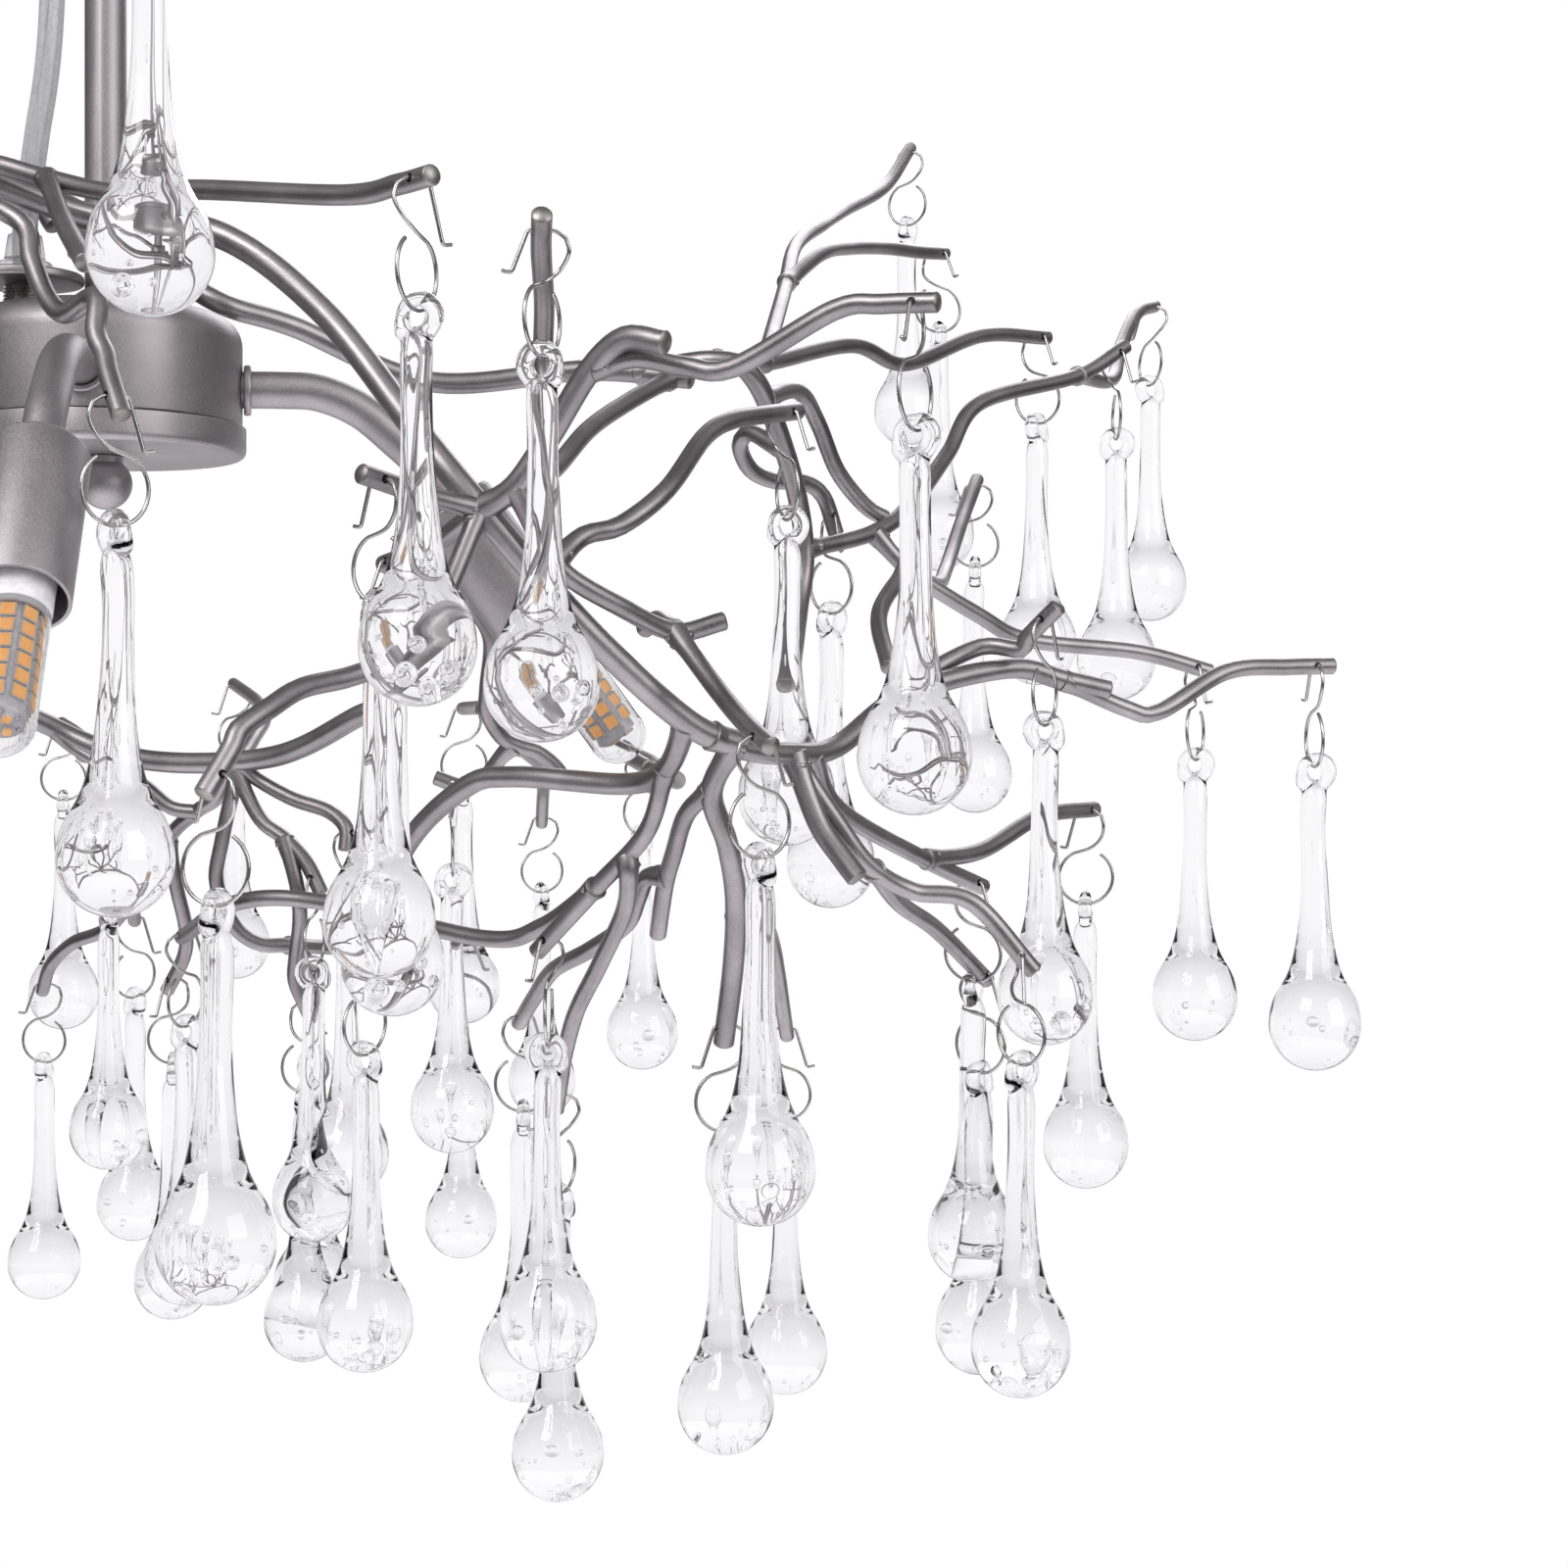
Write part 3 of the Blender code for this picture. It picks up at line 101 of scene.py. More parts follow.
class Shape:
    """Closed surfaces gathered into one mesh. Each face has the number of its material."""

    def __init__(self):
        self.points, self.faces, self.finish = [], [], []

    def add(self, surface, finish=0, matrix=None):
        points, faces = surface[:2]
        start = len(self.points)
        self.points += [matrix @ p for p in points] if matrix else points
        self.faces += [tuple(start + i for i in face) for face in faces]
        self.finish += surface[2] if len(surface) > 2 else [finish] * len(faces)
        return self

    def mesh(self, name, sharp=40.0):
        mesh = bpy.data.meshes.new(name)
        mesh.from_pydata(self.points, [], self.faces)
        mesh.polygons.foreach_set("material_index", self.finish)
        mesh.shade_smooth()
        mesh.set_sharp_from_angle(angle=math.radians(sharp))
        return mesh


def put(name, data):
    """An object in the scene, made from a mesh, a light or a camera."""
    made = bpy.data.objects.new(name, data)
    bpy.context.scene.collection.objects.link(made)
    return made


def show(name, shape, materials, body="root", nodes=(), sharp=40.0):
    """A new piece of the object: its mesh, its materials, and what it rides on and stands for."""
    mesh = shape.mesh(name, sharp)
    for material in materials:
        mesh.materials.append(material)
    piece = put(name, mesh)
    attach(piece, body)
    if nodes:
        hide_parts(*nodes)
    return piece


def polar(radius, angle, height=0.0):
    """The point at a distance from Z, at an angle about it, and at a height."""
    return Vector((radius * math.cos(angle), radius * math.sin(angle), height))


def lathe(profile, steps, closed=False):
    """Turn a profile of (radius, height) in millimetres about Z: it runs down the outer side, top to bottom."""
    points, faces, rings = [], [], []
    for radius, height in profile:
        count = steps if radius > 1e-6 else 1
        rings.append([len(points) + i for i in range(count)] * (steps // count))
        for i in range(count):
            points.append(polar(radius, 2 * math.pi * i / steps, height) * MM)
    pairs = list(zip(rings, rings[1:])) + ([(rings[-1], rings[0])] if closed else [])
    for upper, lower in pairs:
        for i in range(steps):
            j = (i + 1) % steps
            face = list(dict.fromkeys((upper[i], lower[i], lower[j], upper[j])))
            if len(face) > 2:
                faces.append(tuple(face))
    return points, faces


def arc(centre_r, centre_z, radius, start, end, count):
    """Points (radius, height) along an arc of a turned profile, angles in degrees."""
    angles = [math.radians(start + (end - start) * i / count) for i in range(count + 1)]
    return [(centre_r + radius * math.cos(a), centre_z + radius * math.sin(a)) for a in angles]


def smooth_route(points, step):
    """A smooth curve through the points, as a list of points about a step apart."""
    points = [Vector(p) for p in points]
    ends = [2 * points[0] - points[1], *points, 2 * points[-1] - points[-2]]
    route = []
    for before, start, end, after in zip(ends, ends[1:], ends[2:], ends[3:]):
        count = max(1, round((end - start).length / step))
        for i in range(count):
            t = i / count
            route.append(0.5 * (2 * start + (end - before) * t
                                + (2 * before - 5 * start + 4 * end - after) * t ** 2
                                + (3 * start - before - 3 * end + after) * t ** 3))
    route.append(points[-1])
    return route


def tube(route, radii, sides, bevel=0.0, dome=0.0):
    """A round bar along a route in millimetres; its cut ends have the second finish."""
    route = [Vector(p) for p in route]
    radii = list(radii) if hasattr(radii, "__len__") else [radii] * len(route)
    if bevel:
        first, last = (route[1] - route[0]).normalized(), (route[-1] - route[-2]).normalized()
        route = [route[0], route[0] + first * bevel, *route[1:-1], route[-1] - last * bevel, route[-1]]
        radii = [radii[0] - bevel, radii[0], *radii[1:-1], radii[-1], radii[-1] - bevel]
    last_point = len(route) - 1
    directions = [(route[min(i + 1, last_point)] - route[max(i - 1, 0)]).normalized() for i in range(len(route))]
    side = directions[0].orthogonal().normalized()
    points, faces, finish = [], [], []
    for where, along, radius in zip(route, directions, radii):
        side = (side - along * side.dot(along)).normalized()
        other = along.cross(side)
        for i in range(sides):
            angle = 2 * math.pi * i / sides
            points.append((where + (side * math.cos(angle) + other * math.sin(angle)) * radius) * MM)
    for ring in range(last_point):
        for i in range(sides):
            j = (i + 1) % sides
            low, high = ring * sides, (ring + 1) * sides
            faces.append((low + i, low + j, high + j, high + i))
            finish.append(1 if bevel and ring in (0, last_point - 1) else 0)
    for end, ring, sign in ((0, 0, -1), (-1, last_point * sides, 1)):
        points.append((route[end] + directions[end] * dome * sign) * MM)
        centre = len(points) - 1
        for i in range(sides):
            pair = (ring + i, ring + (i + 1) % sides)
            faces.append((centre, *(pair if sign > 0 else pair[::-1])))
            finish.append(1 if bevel else 0)
    return points, faces, finish


def joined(target, tool, operation):
    """The mesh of one object joined to another one or cut by it. Both objects are used up."""
    modifier = target.modifiers.new("Join", "BOOLEAN")
    modifier.operation, modifier.object, modifier.solver = operation, tool, "EXACT"
    bpy.context.view_layer.update()
    mesh = bpy.data.meshes.new_from_object(target.evaluated_get(bpy.context.evaluated_depsgraph_get()))
    for used in (target, tool):
        bpy.data.objects.remove(used, do_unlink=True)
    return mesh


def drilled(surface, matrix, radius):
    """The surface with a round hole along Z of the matrix, which is in metres."""
    bit = lathe([(0, DRILL_REACH), (radius, DRILL_REACH), (radius, -DRILL_REACH), (0, -DRILL_REACH)], 14)
    drill = put("drill", Shape().add(bit).mesh("drill"))
    drill.matrix_world = matrix
    mesh = joined(put("drilled", Shape().add(surface).mesh("drilled")), drill, "DIFFERENCE")
    return ([v.co.copy() for v in mesh.vertices], [tuple(p.vertices) for p in mesh.polygons],
            [min(p.material_index, 1) for p in mesh.polygons])


# ---------------------------------------------------------------- materials

def node(tree, kind, inputs=None, **settings):
    """A shader node with its settings, and its inputs as values or as links from other nodes' sockets."""
    made = tree.nodes.new(kind)
    for key, value in settings.items():
        setattr(made, key, value)
    for key, value in (inputs or {}).items():
        if isinstance(value, bpy.types.NodeSocket):
            tree.links.new(value, made.inputs[key])
        else:
            made.inputs[key].default_value = value
    return made


def new_material(name, **values):
    """A material, its node tree and its shader, with values set on the shader's own sockets."""
    material = bpy.data.materials.new(name)
    material.use_nodes = True
    shader = material.node_tree.nodes["Principled BSDF"]
    for key, value in values.items():
        shader.inputs[key.replace("_", " ")].default_value = value
    return material, material.node_tree, shader


def ramp(tree, factor, *stops):
    """A colour ramp: each stop is (position, grey or colour)."""
    made = node(tree, "ShaderNodeValToRGB", {"Fac": factor})
    elements = made.color_ramp.elements
    while len(elements) < len(stops):
        elements.new(0.5)
    for element, (position, colour) in zip(elements, stops):
        element.position = position
        element.color = (*colour, 1.0) if hasattr(colour, "__len__") else (colour, colour, colour, 1.0)
    return made.outputs["Color"]


def coordinates(tree, stretch=None):
    """The object's own coordinates, stretched where the pattern should be."""
    where = node(tree, "ShaderNodeTexCoord").outputs["Object"]
    if stretch:
        where = node(tree, "ShaderNodeMapping", {"Vector": where, "Scale": stretch}).outputs["Vector"]
    return where


def noise_value(tree, where, scale, detail=2.0, roughness=0.5):
    """Noise of a scale, as a grey value from 0 to 1."""
    return node(tree, "ShaderNodeTexNoise", {"Vector": where, "Scale": scale, "Detail": detail,
                                             "Roughness": roughness}).outputs["Fac"]


def mix(tree, kind, factor, first, second):
    """Two colours mixed. The mix node's sockets for colour are its sixth and seventh, and its second output."""
    made = node(tree, "ShaderNodeMix", data_type="RGBA", blend_type=kind)
    for index, value in ((0, factor), (6, first), (7, second)):
        if isinstance(value, bpy.types.NodeSocket):
            tree.links.new(value, made.inputs[index])
        else:
            made.inputs[index].default_value = value
    return made.outputs[2]


def bumped(tree, shader, *layers):
    """Give the shader a surface of layers: each is (strength, depth in metres, height)."""
    normal = None
    for strength, depth, height in layers:
        inputs = {"Strength": strength, "Distance": depth, "Height": height}
        if normal:
            inputs["Normal"] = normal
        normal = node(tree, "ShaderNodeBump", inputs).outputs["Normal"]
    tree.links.new(normal, shader.inputs["Normal"])


def metal(name, dark, light, roughness, grain=2600.0, edge_lightening=0.0):
    """Satin metal: a fine grain in its colour, roughness and surface, with soft darker patches."""
    material, tree, shader = new_material(name, Metallic=1.0)
    where = coordinates(tree)
    fine = noise_value(tree, where, grain, 3.0, 0.6)
    patches = noise_value(tree, where, 45.0, 4.0, 0.55)
    colour = ramp(tree, patches, (0.32, dark), (0.68, light))
    colour = mix(tree, "OVERLAY", 0.28, colour, ramp(tree, fine, (0.35, 0.25), (0.65, 0.78)))
    # Sharp convex edges, found by pointiness, are given a lighter colour.
    if edge_lightening:
        edge = ramp(tree, node(tree, "ShaderNodeNewGeometry").outputs["Pointiness"], (0.52, 0.0), (0.58, edge_lightening))
        colour = mix(tree, "MIX", edge, colour, (*[min(1.0, c * 1.7) for c in light], 1.0))
    tree.links.new(colour, shader.inputs["Base Color"])
    rough = node(tree, "ShaderNodeMapRange", {"Value": fine, "From Min": 0.3, "From Max": 0.7,
                                              "To Min": roughness - 0.07, "To Max": roughness + 0.09})
    tree.links.new(rough.outputs["Result"], shader.inputs["Roughness"])
    bumped(tree, shader, (0.30, 0.00012, noise_value(tree, where, 260.0, 2.0)), (0.22, 0.00005, fine))
    return material


def clear(name, edge, ior=1.5, roughness=0.0, centre=1.0, streaks=None, bump=0.0):
    """Clear glass or plastic with painted shade: greyer where it is seen at a slant, which draws dark outlines, with
    faint waves in its surface.
    """
    material, tree, shader = new_material(name, Transmission_Weight=1.0, IOR=ior, Roughness=roughness)
    facing = node(tree, "ShaderNodeLayerWeight", {"Blend": 0.5}).outputs["Facing"]
    # Painted shade: the colour greys towards the outlines, where the surface is seen at a slant, standing in for dark
    # things seen through the glass.
    colour = ramp(tree, facing, (0.0, centre), (0.62, centre * 0.985), (0.86, (centre + edge) / 2), (1.0, edge))
    where = coordinates(tree, streaks)
    if streaks:
        lines = ramp(tree, noise_value(tree, where, 900.0, 3.0, 0.7), (0.35, 0.55), (0.6, 1.0))
        colour = mix(tree, "MULTIPLY", 0.4, colour, lines)
    tree.links.new(colour, shader.inputs["Base Color"])
    if bump:
        bumped(tree, shader, (bump, 0.0004, noise_value(tree, where, 120.0, 2.0)))
    return material


def matt(name, dark, light, roughness, scale=400.0, emission=0.0, bump=0.1):
    """A mottled surface that isn't metal, such as ceramic, board or plastic."""
    material, tree, shader = new_material(name, Roughness=roughness)
    where = coordinates(tree)
    value = noise_value(tree, where, scale, 3.0)
    colour = ramp(tree, value, (0.3, dark), (0.7, light))
    tree.links.new(colour, shader.inputs["Base Color"])
    bumped(tree, shader, (bump, 0.0001, value))
    if emission:
        shader.inputs["Emission Color"].default_value = (*light, 1.0)
        shader.inputs["Emission Strength"].default_value = emission
    return material


PEWTER = metal("pewter_satin", (0.232, 0.215, 0.222), (0.360, 0.332, 0.344), 0.38)
PEWTER_TURNED = metal("pewter_turned", (0.338, 0.312, 0.324), (0.402, 0.370, 0.384), 0.46, 2200.0, edge_lightening=0.5)
PEWTER_CUT = metal("pewter_cut_end", (0.22, 0.20, 0.20), (0.36, 0.33, 0.33), 0.42, 3200.0)
STEEL = metal("steel_wire", (0.33, 0.325, 0.32), (0.50, 0.49, 0.485), 0.24, 3000.0)
SILVER_STRAND = matt("silver_strand", (0.74, 0.74, 0.76), (0.90, 0.90, 0.92), 0.35, 900.0)
# clear() greys each of these at its slanted outlines as painted shade; the second value is that grey.
GLASS = clear("clear_glass", 0.50, 1.5, bump=0.10)
GLAND = clear("clear_gland", 0.62, 1.46, roughness=0.28, bump=0.15)
SHEATH = clear("clear_sheath", 0.55, 1.45, roughness=0.10, streaks=(1.0, 1.0, 0.04))
CAPSULE = clear("clear_capsule", 0.62, 1.45, roughness=0.03, centre=0.97)
MILKY = matt("milky_collar", (0.60, 0.59, 0.62), (0.73, 0.72, 0.75), 0.35, 500.0)
CERAMIC = matt("white_ceramic", (0.70, 0.68, 0.63), (0.84, 0.82, 0.78), 0.35, 900.0)
BOARD = matt("grey_board", (0.56, 0.54, 0.58), (0.70, 0.68, 0.72), 0.45, 700.0)
PHOSPHOR = matt("orange_phosphor", (0.94, 0.40, 0.09), (1.0, 0.49, 0.14), 0.5, 900.0, emission=0.22)
CHIP_FRAME = matt("chip_frame", (0.55, 0.52, 0.50), (0.70, 0.68, 0.66), 0.4, 900.0)
SOLDER = metal("solder", (0.40, 0.39, 0.38), (0.62, 0.61, 0.60), 0.3, 1800.0)
FLOOR = matt("pale_floor", (0.86, 0.86, 0.86), (0.90, 0.90, 0.90), 0.7, 3.0, emission=0.55, bump=0.02)


# ---------------------------------------------------------------- lights, camera and floor

def make_world():
    """White where the camera looks past the object; bands of light and shade for gloss and for glass."""
    world = bpy.data.worlds.new("studio")
    bpy.context.scene.world = world
    world.use_nodes = True
    tree = world.node_tree
    background = tree.nodes["Background"]
    direction = node(tree, "ShaderNodeTexCoord").outputs["Generated"]
    parts = node(tree, "ShaderNodeSeparateXYZ", {"Vector": direction}).outputs
    height, front = (node(tree, "ShaderNodeMapRange", {"Value": parts[axis], "From Min": low, "From Max": -low})
                     .outputs["Result"] for axis, low in (("Z", -1.0), ("Y", 1.0)))
    gloss = ramp(tree, height, (0.0, 0.12), (0.25, 0.06), (0.43, 0.10), (0.55, 0.34), (0.68, 0.86), (0.85, 1.0),
                 (1.0, 0.6))
    boxes = ramp(tree, front, (0.0, 0.20), (0.42, 0.30), (0.60, 0.72), (0.78, 1.15), (1.0, 0.85))
    gloss = mix(tree, "MULTIPLY", 1.0, gloss, boxes)
    sweep = mix(tree, "MULTIPLY", 1.0, ramp(tree, height, (0.30, 0.0), (0.40, 0.9), (0.49, 1.0), (0.60, 0.0)),
                ramp(tree, front, (0.0, 1.0), (0.10, 0.7), (0.24, 0.0)))
    gloss = mix(tree, "ADD", 1.0, gloss, sweep)
    through = ramp(tree, height, (0.0, (0.60, 0.59, 0.62)), (0.30, (0.84, 0.83, 0.86)), (0.44, (0.975, 0.97, 0.985)),
                   (0.60, (0.975, 0.97, 0.985)), (0.80, (0.88, 0.875, 0.90)), (1.0, (0.68, 0.67, 0.70)))
    rays = node(tree, "ShaderNodeLightPath").outputs
    colour = mix(tree, "MIX", rays["Is Glossy Ray"], through, gloss)
    colour = mix(tree, "MIX", rays["Is Transmission Ray"], colour, through)
    colour = mix(tree, "MIX", rays["Is Camera Ray"], colour, (1.0, 1.0, 1.0, 1.0))
    tree.links.new(colour, background.inputs["Color"])


def add_light(name, where, target, size, energy, colour=(1.0, 1.0, 1.0)):
    """A soft square light, seen only in gloss and as light."""
    light = bpy.data.lights.new(name, "AREA")
    light.size, light.energy, light.color = size, energy, colour
    lamp = put(name, light)
    lamp.location = where
    lamp.rotation_euler = (Vector(target) - Vector(where)).to_track_quat("-Z", "Y").to_euler()
    lamp.visible_camera = lamp.visible_transmission = False


def make_stage():
    """The world, the lights, the camera and the floor."""
    make_world()
    middle = (0.05, 0.0, -0.35)
    add_light("key_light", (-0.9, -1.5, 0.9), middle, 1.1, 26.0, (1.0, 0.99, 0.985))
    add_light("fill_light", (1.6, -1.1, 0.2), middle, 1.3, 12.0)
    add_light("back_light", (0.5, 1.8, 0.9), middle, 1.2, 16.0, (0.97, 0.985, 1.0))
    camera = put("camera", bpy.data.cameras.new("camera"))
    camera.location = (0.182, -0.710, -0.428)
    camera.rotation_euler = (math.pi / 2, 0.0, 0.0)
    camera.data.lens, camera.data.sensor_width = 60.75, 36.0
    camera.data.clip_start = 0.01
    bpy.context.scene.camera = camera
    bpy.context.scene.view_settings.view_transform = "Standard"
    under = FLOOR_LEVEL - FLOOR_THICK
    disc = lathe([(0.0, FLOOR_LEVEL), (FLOOR_RADIUS, FLOOR_LEVEL), (FLOOR_RADIUS, under), (0.0, under)], 64)
    floor_mesh = Shape().add(disc).mesh("floor")
    floor_mesh.materials.append(FLOOR)
    floor = put("floor", floor_mesh)
    floor.visible_transmission = False


# ---------------------------------------------------------------- ceiling fitting, rod and hub

DOWN = Matrix.Translation((0.0, 0.0, -HUB_DROP * MM))


def rounded(profile, radius=0.4, count=3):
    """The same turned profile with its corners rounded."""
    result = []
    for i, point in enumerate(profile):
        here = Vector(point)
        before, after = Vector(profile[i - 1]), Vector(profile[(i + 1) % len(profile)])
        first, last = before - here, after - here
        cut = min(radius, first.length / 2.2, last.length / 2.2)
        if here.x < 1e-6 or cut < 0.02:
            result.append(tuple(here))
            continue
        a, b = here + first.normalized() * cut, here + last.normalized() * cut
        result += [tuple(a.lerp(here, t).lerp(here.lerp(b, t), t)) for t in [k / count for k in range(count + 1)]]
    return result


def spun(name, profile, material, stands_for, closed=True, matrix=DOWN, steps=64, radius=0.4):
    """A turned piece that takes the place of one CAD node."""
    shape = Shape().add(lathe(rounded(profile, radius), steps, closed), matrix=matrix)
    return show(name, shape, [material], "root", [stands_for], 50.0)


def make_ceiling_fitting():
    """The canopy, the rod and the boughs' collar."""
    top, low, bore = HUB_DROP, HUB_DROP - CANOPY_DEPTH, ROD_RADIUS + GAP
    bend = CANOPY_RADIUS - CANOPY_BEND, low + CANOPY_BEND
    outer = [(CANOPY_RADIUS, top), *arc(*bend, CANOPY_BEND, 0, -90, 14), (bore, low)]
    inner = [(bore, low + CANOPY_WALL), *arc(*bend, CANOPY_BEND - CANOPY_WALL, -90, 0, 14),
             (CANOPY_RADIUS - CANOPY_WALL, top)]
    surface = lathe(outer + inner, 96, True)
    cable_end = Vector((*CABLE_ROUTE[-1][:2], low)) * MM
    surface = drilled(surface, Matrix.Translation(cable_end), CABLE_RADIUS + 2 * GAP)
    canopy = Shape().add(surface, matrix=DOWN)
    show("canopy_spun", canopy, [PEWTER_TURNED, PEWTER_TURNED], "root", ["canopy"], 50.0)
    rod_top = top - ROD_BELOW_CEILING
    rod = [(0.0, rod_top), (ROD_RADIUS, rod_top), (ROD_RADIUS, ROD_LOW), (0.0, ROD_LOW)]
    spun("rod_turned", rod, PEWTER_TURNED, "hanging_rod", False)
    collar = [(COLLAR_RADIUS, COLLAR_HIGH), (COLLAR_RADIUS, COLLAR_LOW), (bore, COLLAR_LOW), (bore, COLLAR_HIGH)]
    spun("collar_turned", collar, PEWTER_TURNED, "bough_collar", radius=0.8)


def make_hub():
    """The hub's cup and lid, and the finial under it."""
    bore, inside = ROD_RADIUS + GAP, HUB_RADIUS - HUB_WALL
    fillet = HUB_RADIUS - HUB_FILLET, HUB_TOP - HUB_FILLET
    outer = [(bore, HUB_TOP), *arc(*fillet, HUB_FILLET, 90, 0, 10), (HUB_RADIUS, LID_HEIGHT + GAP)]
    inner = [(inside, LID_HEIGHT + GAP), *arc(*fillet, HUB_FILLET - HUB_WALL, 0, 90, 10), (bore, HUB_TOP - HUB_WALL)]
    spun("hub_cup_spun", outer + inner, PEWTER_TURNED, "hub_cup", steps=96)
    bore = STUD_RADIUS + GAP
    lid = [(LID_RADIUS, LID_HEIGHT), *arc(LID_RADIUS - LID_FILLET, LID_FILLET, LID_FILLET, 0, -90, 5), (bore, 0.0),
           (bore, HUB_WALL), (inside, HUB_WALL), (inside, LID_HEIGHT)]
    spun("hub_lid_spun", lid, PEWTER_TURNED, "hub_lid", steps=96, radius=0.3)
    ball = arc(0.0, FINIAL_CENTRE, FINIAL_RADIUS, 50, -90, 22)
    stud_top = ROD_LOW - GAP
    stem = [(0.0, stud_top), (STUD_RADIUS, stud_top), (STUD_RADIUS, -GAP), (STEM_RADIUS, -GAP)]
    surface = lathe([*stem, *ball[:-1], (0.0, FINIAL_CENTRE - FINIAL_RADIUS)], 48)
    show("finial_turned", Shape().add(surface, matrix=DOWN), [PEWTER_TURNED], "root", ["finial"], 50.0)


def make_gland_and_cable():
    """The threaded gland on the hub, and the clear cable with three silver cores."""
    where = DOWN @ Matrix.Translation(Vector((GLAND_X, GLAND_Y, 0.0)) * MM)
    bore, seat = CABLE_RADIUS + GAP, HUB_TOP + GAP
    turns = 6
    pitch = (DISC_LOW - GAP - seat) / (2 * turns)
    threads = [(NIPPLE_RADIUS + 0.9 * (i % 2), DISC_LOW - GAP - i * pitch) for i in range(2 * turns + 1)]
    nipple = [*threads, (NIPPLE_RADIUS, HUB_TOP - 3.5), (bore, HUB_TOP - 3.5), (bore, DISC_LOW - GAP)]
    spun("nipple_threaded", nipple, STEEL, "gland_nipple", matrix=where, radius=0.12)
    high = DISC_LOW + DISC_THICK
    disc = [(DISC_RADIUS, high), (DISC_RADIUS, DISC_LOW), (bore, DISC_LOW), (bore, high)]
    spun("disc_turned", disc, PEWTER_TURNED, "gland_disc", matrix=where, radius=0.9)
    foot = high + GAP
    top = foot + GLAND_HEIGHT
    dome = [(bore, top), (CABLE_RADIUS + 1.1, top), (CABLE_RADIUS + 1.5, top - 2.5), (CABLE_RADIUS + 1.9, foot + 4.6),
            (CABLE_RADIUS + 2.2, foot + 3.2), (6.9, foot + 2.7), (7.6, foot + 1.4), (7.6, foot), (bore, foot)]
    spun("gland_moulded", dome, GLAND, "cable_gland", matrix=where, steps=40, radius=0.5)
    route = smooth_route(CABLE_ROUTE, 4.0)
    sheath = Shape().add(tube(route, CABLE_RADIUS, 32), matrix=DOWN)
    show("cable_sheath", sheath, [SHEATH], "root", ["supply_cable"])
    strands = Shape()
    lengths = [0.0]
    for a, b in zip(route, route[1:]):
        lengths.append(lengths[-1] + (b - a).length)
    for core in range(3):
        twisted = []
        for where_on, s in zip(route, lengths):
            angle = 2 * math.pi * (core / 3 + s / CORE_TWIST)
            twisted.append(where_on + polar(1.0, angle) * CORE_OFFSET)
        strands.add(tube(twisted[:-1], CORE_RADIUS, 12), matrix=DOWN)
    show("cable_cores", strands, [SILVER_STRAND])


# ---------------------------------------------------------------- lamps

def lamp_frame(azimuth):
    """The matrices to the frame from a lamp's own axes, its foot down -Z, and from its arm's."""
    turn = Matrix.Rotation(math.radians(azimuth), 4, "Z")
    start = Vector((SLEEVE_TOP_REACH, 0.0, SLEEVE_TOP_HEIGHT)) * MM
    return DOWN @ turn @ Matrix.Translation(start) @ Matrix.Rotation(-LAMP_TILT, 4, "Y"), DOWN @ turn


def box_surface(size, centre, turn=None, bevel=0.0):
    """A block with bevelled edges, sizes in millimetres."""
    bm = bmesh.new()
    bmesh.ops.create_cube(bm, size=1.0, matrix=Matrix.Diagonal((*(Vector(size) * MM), 1.0)))
    if bevel:
        bmesh.ops.bevel(bm, geom=bm.edges[:], offset=bevel * MM, segments=2, affect="EDGES", profile=0.7)
    bm.verts.index_update()
    place_it = Matrix.Translation(Vector(centre) * MM) @ (turn or Matrix.Identity(4))
    surface = ([place_it @ v.co for v in bm.verts], [tuple(v.index for v in f.verts) for f in bm.faces])
    bm.free()
    return surface


def make_arm(side, turn):
    """A bent tube from the hub into the sleeve, and its flange on the hub."""
    start = Vector((SLEEVE_TOP_REACH, 0.0, SLEEVE_TOP_HEIGHT))
    direction = Vector((math.sin(LAMP_TILT), 0.0, -math.cos(LAMP_TILT)))
    inner_end = start + 3.0 * direction
    bend = [Vector((reach, 0.0, height)) for reach, height in ARM_BEND]
    route = smooth_route([(HUB_RADIUS - 4.0, 0.0, ARM_HEIGHT), *bend, inner_end - 9.0 * direction, inner_end], 2.5)
    arm = Shape().add(tube(route, ARM_RADIUS, 32, 0.4), matrix=turn)
    show(f"arm_bent_{side}", arm, [PEWTER_TURNED, PEWTER_TURNED], "root", [f"lamp_arm_{side}"])
    outer, inner = ARM_FLANGE_RADIUS, ARM_RADIUS + GAP
    ring = [(outer, ARM_FLANGE_THICK), (outer, 0.0), (inner, 0.0), (inner, ARM_FLANGE_THICK)]
    across = turn @ Matrix.Translation(Vector((HUB_RADIUS + GAP, 0.0, ARM_HEIGHT)) * MM)
    across = across @ Matrix.Rotation(math.pi / 2, 4, "Y")
    spun(f"arm_collar_turned_{side}", ring, PEWTER_TURNED, f"arm_collar_{side}", matrix=across,
         radius=0.6, steps=48)


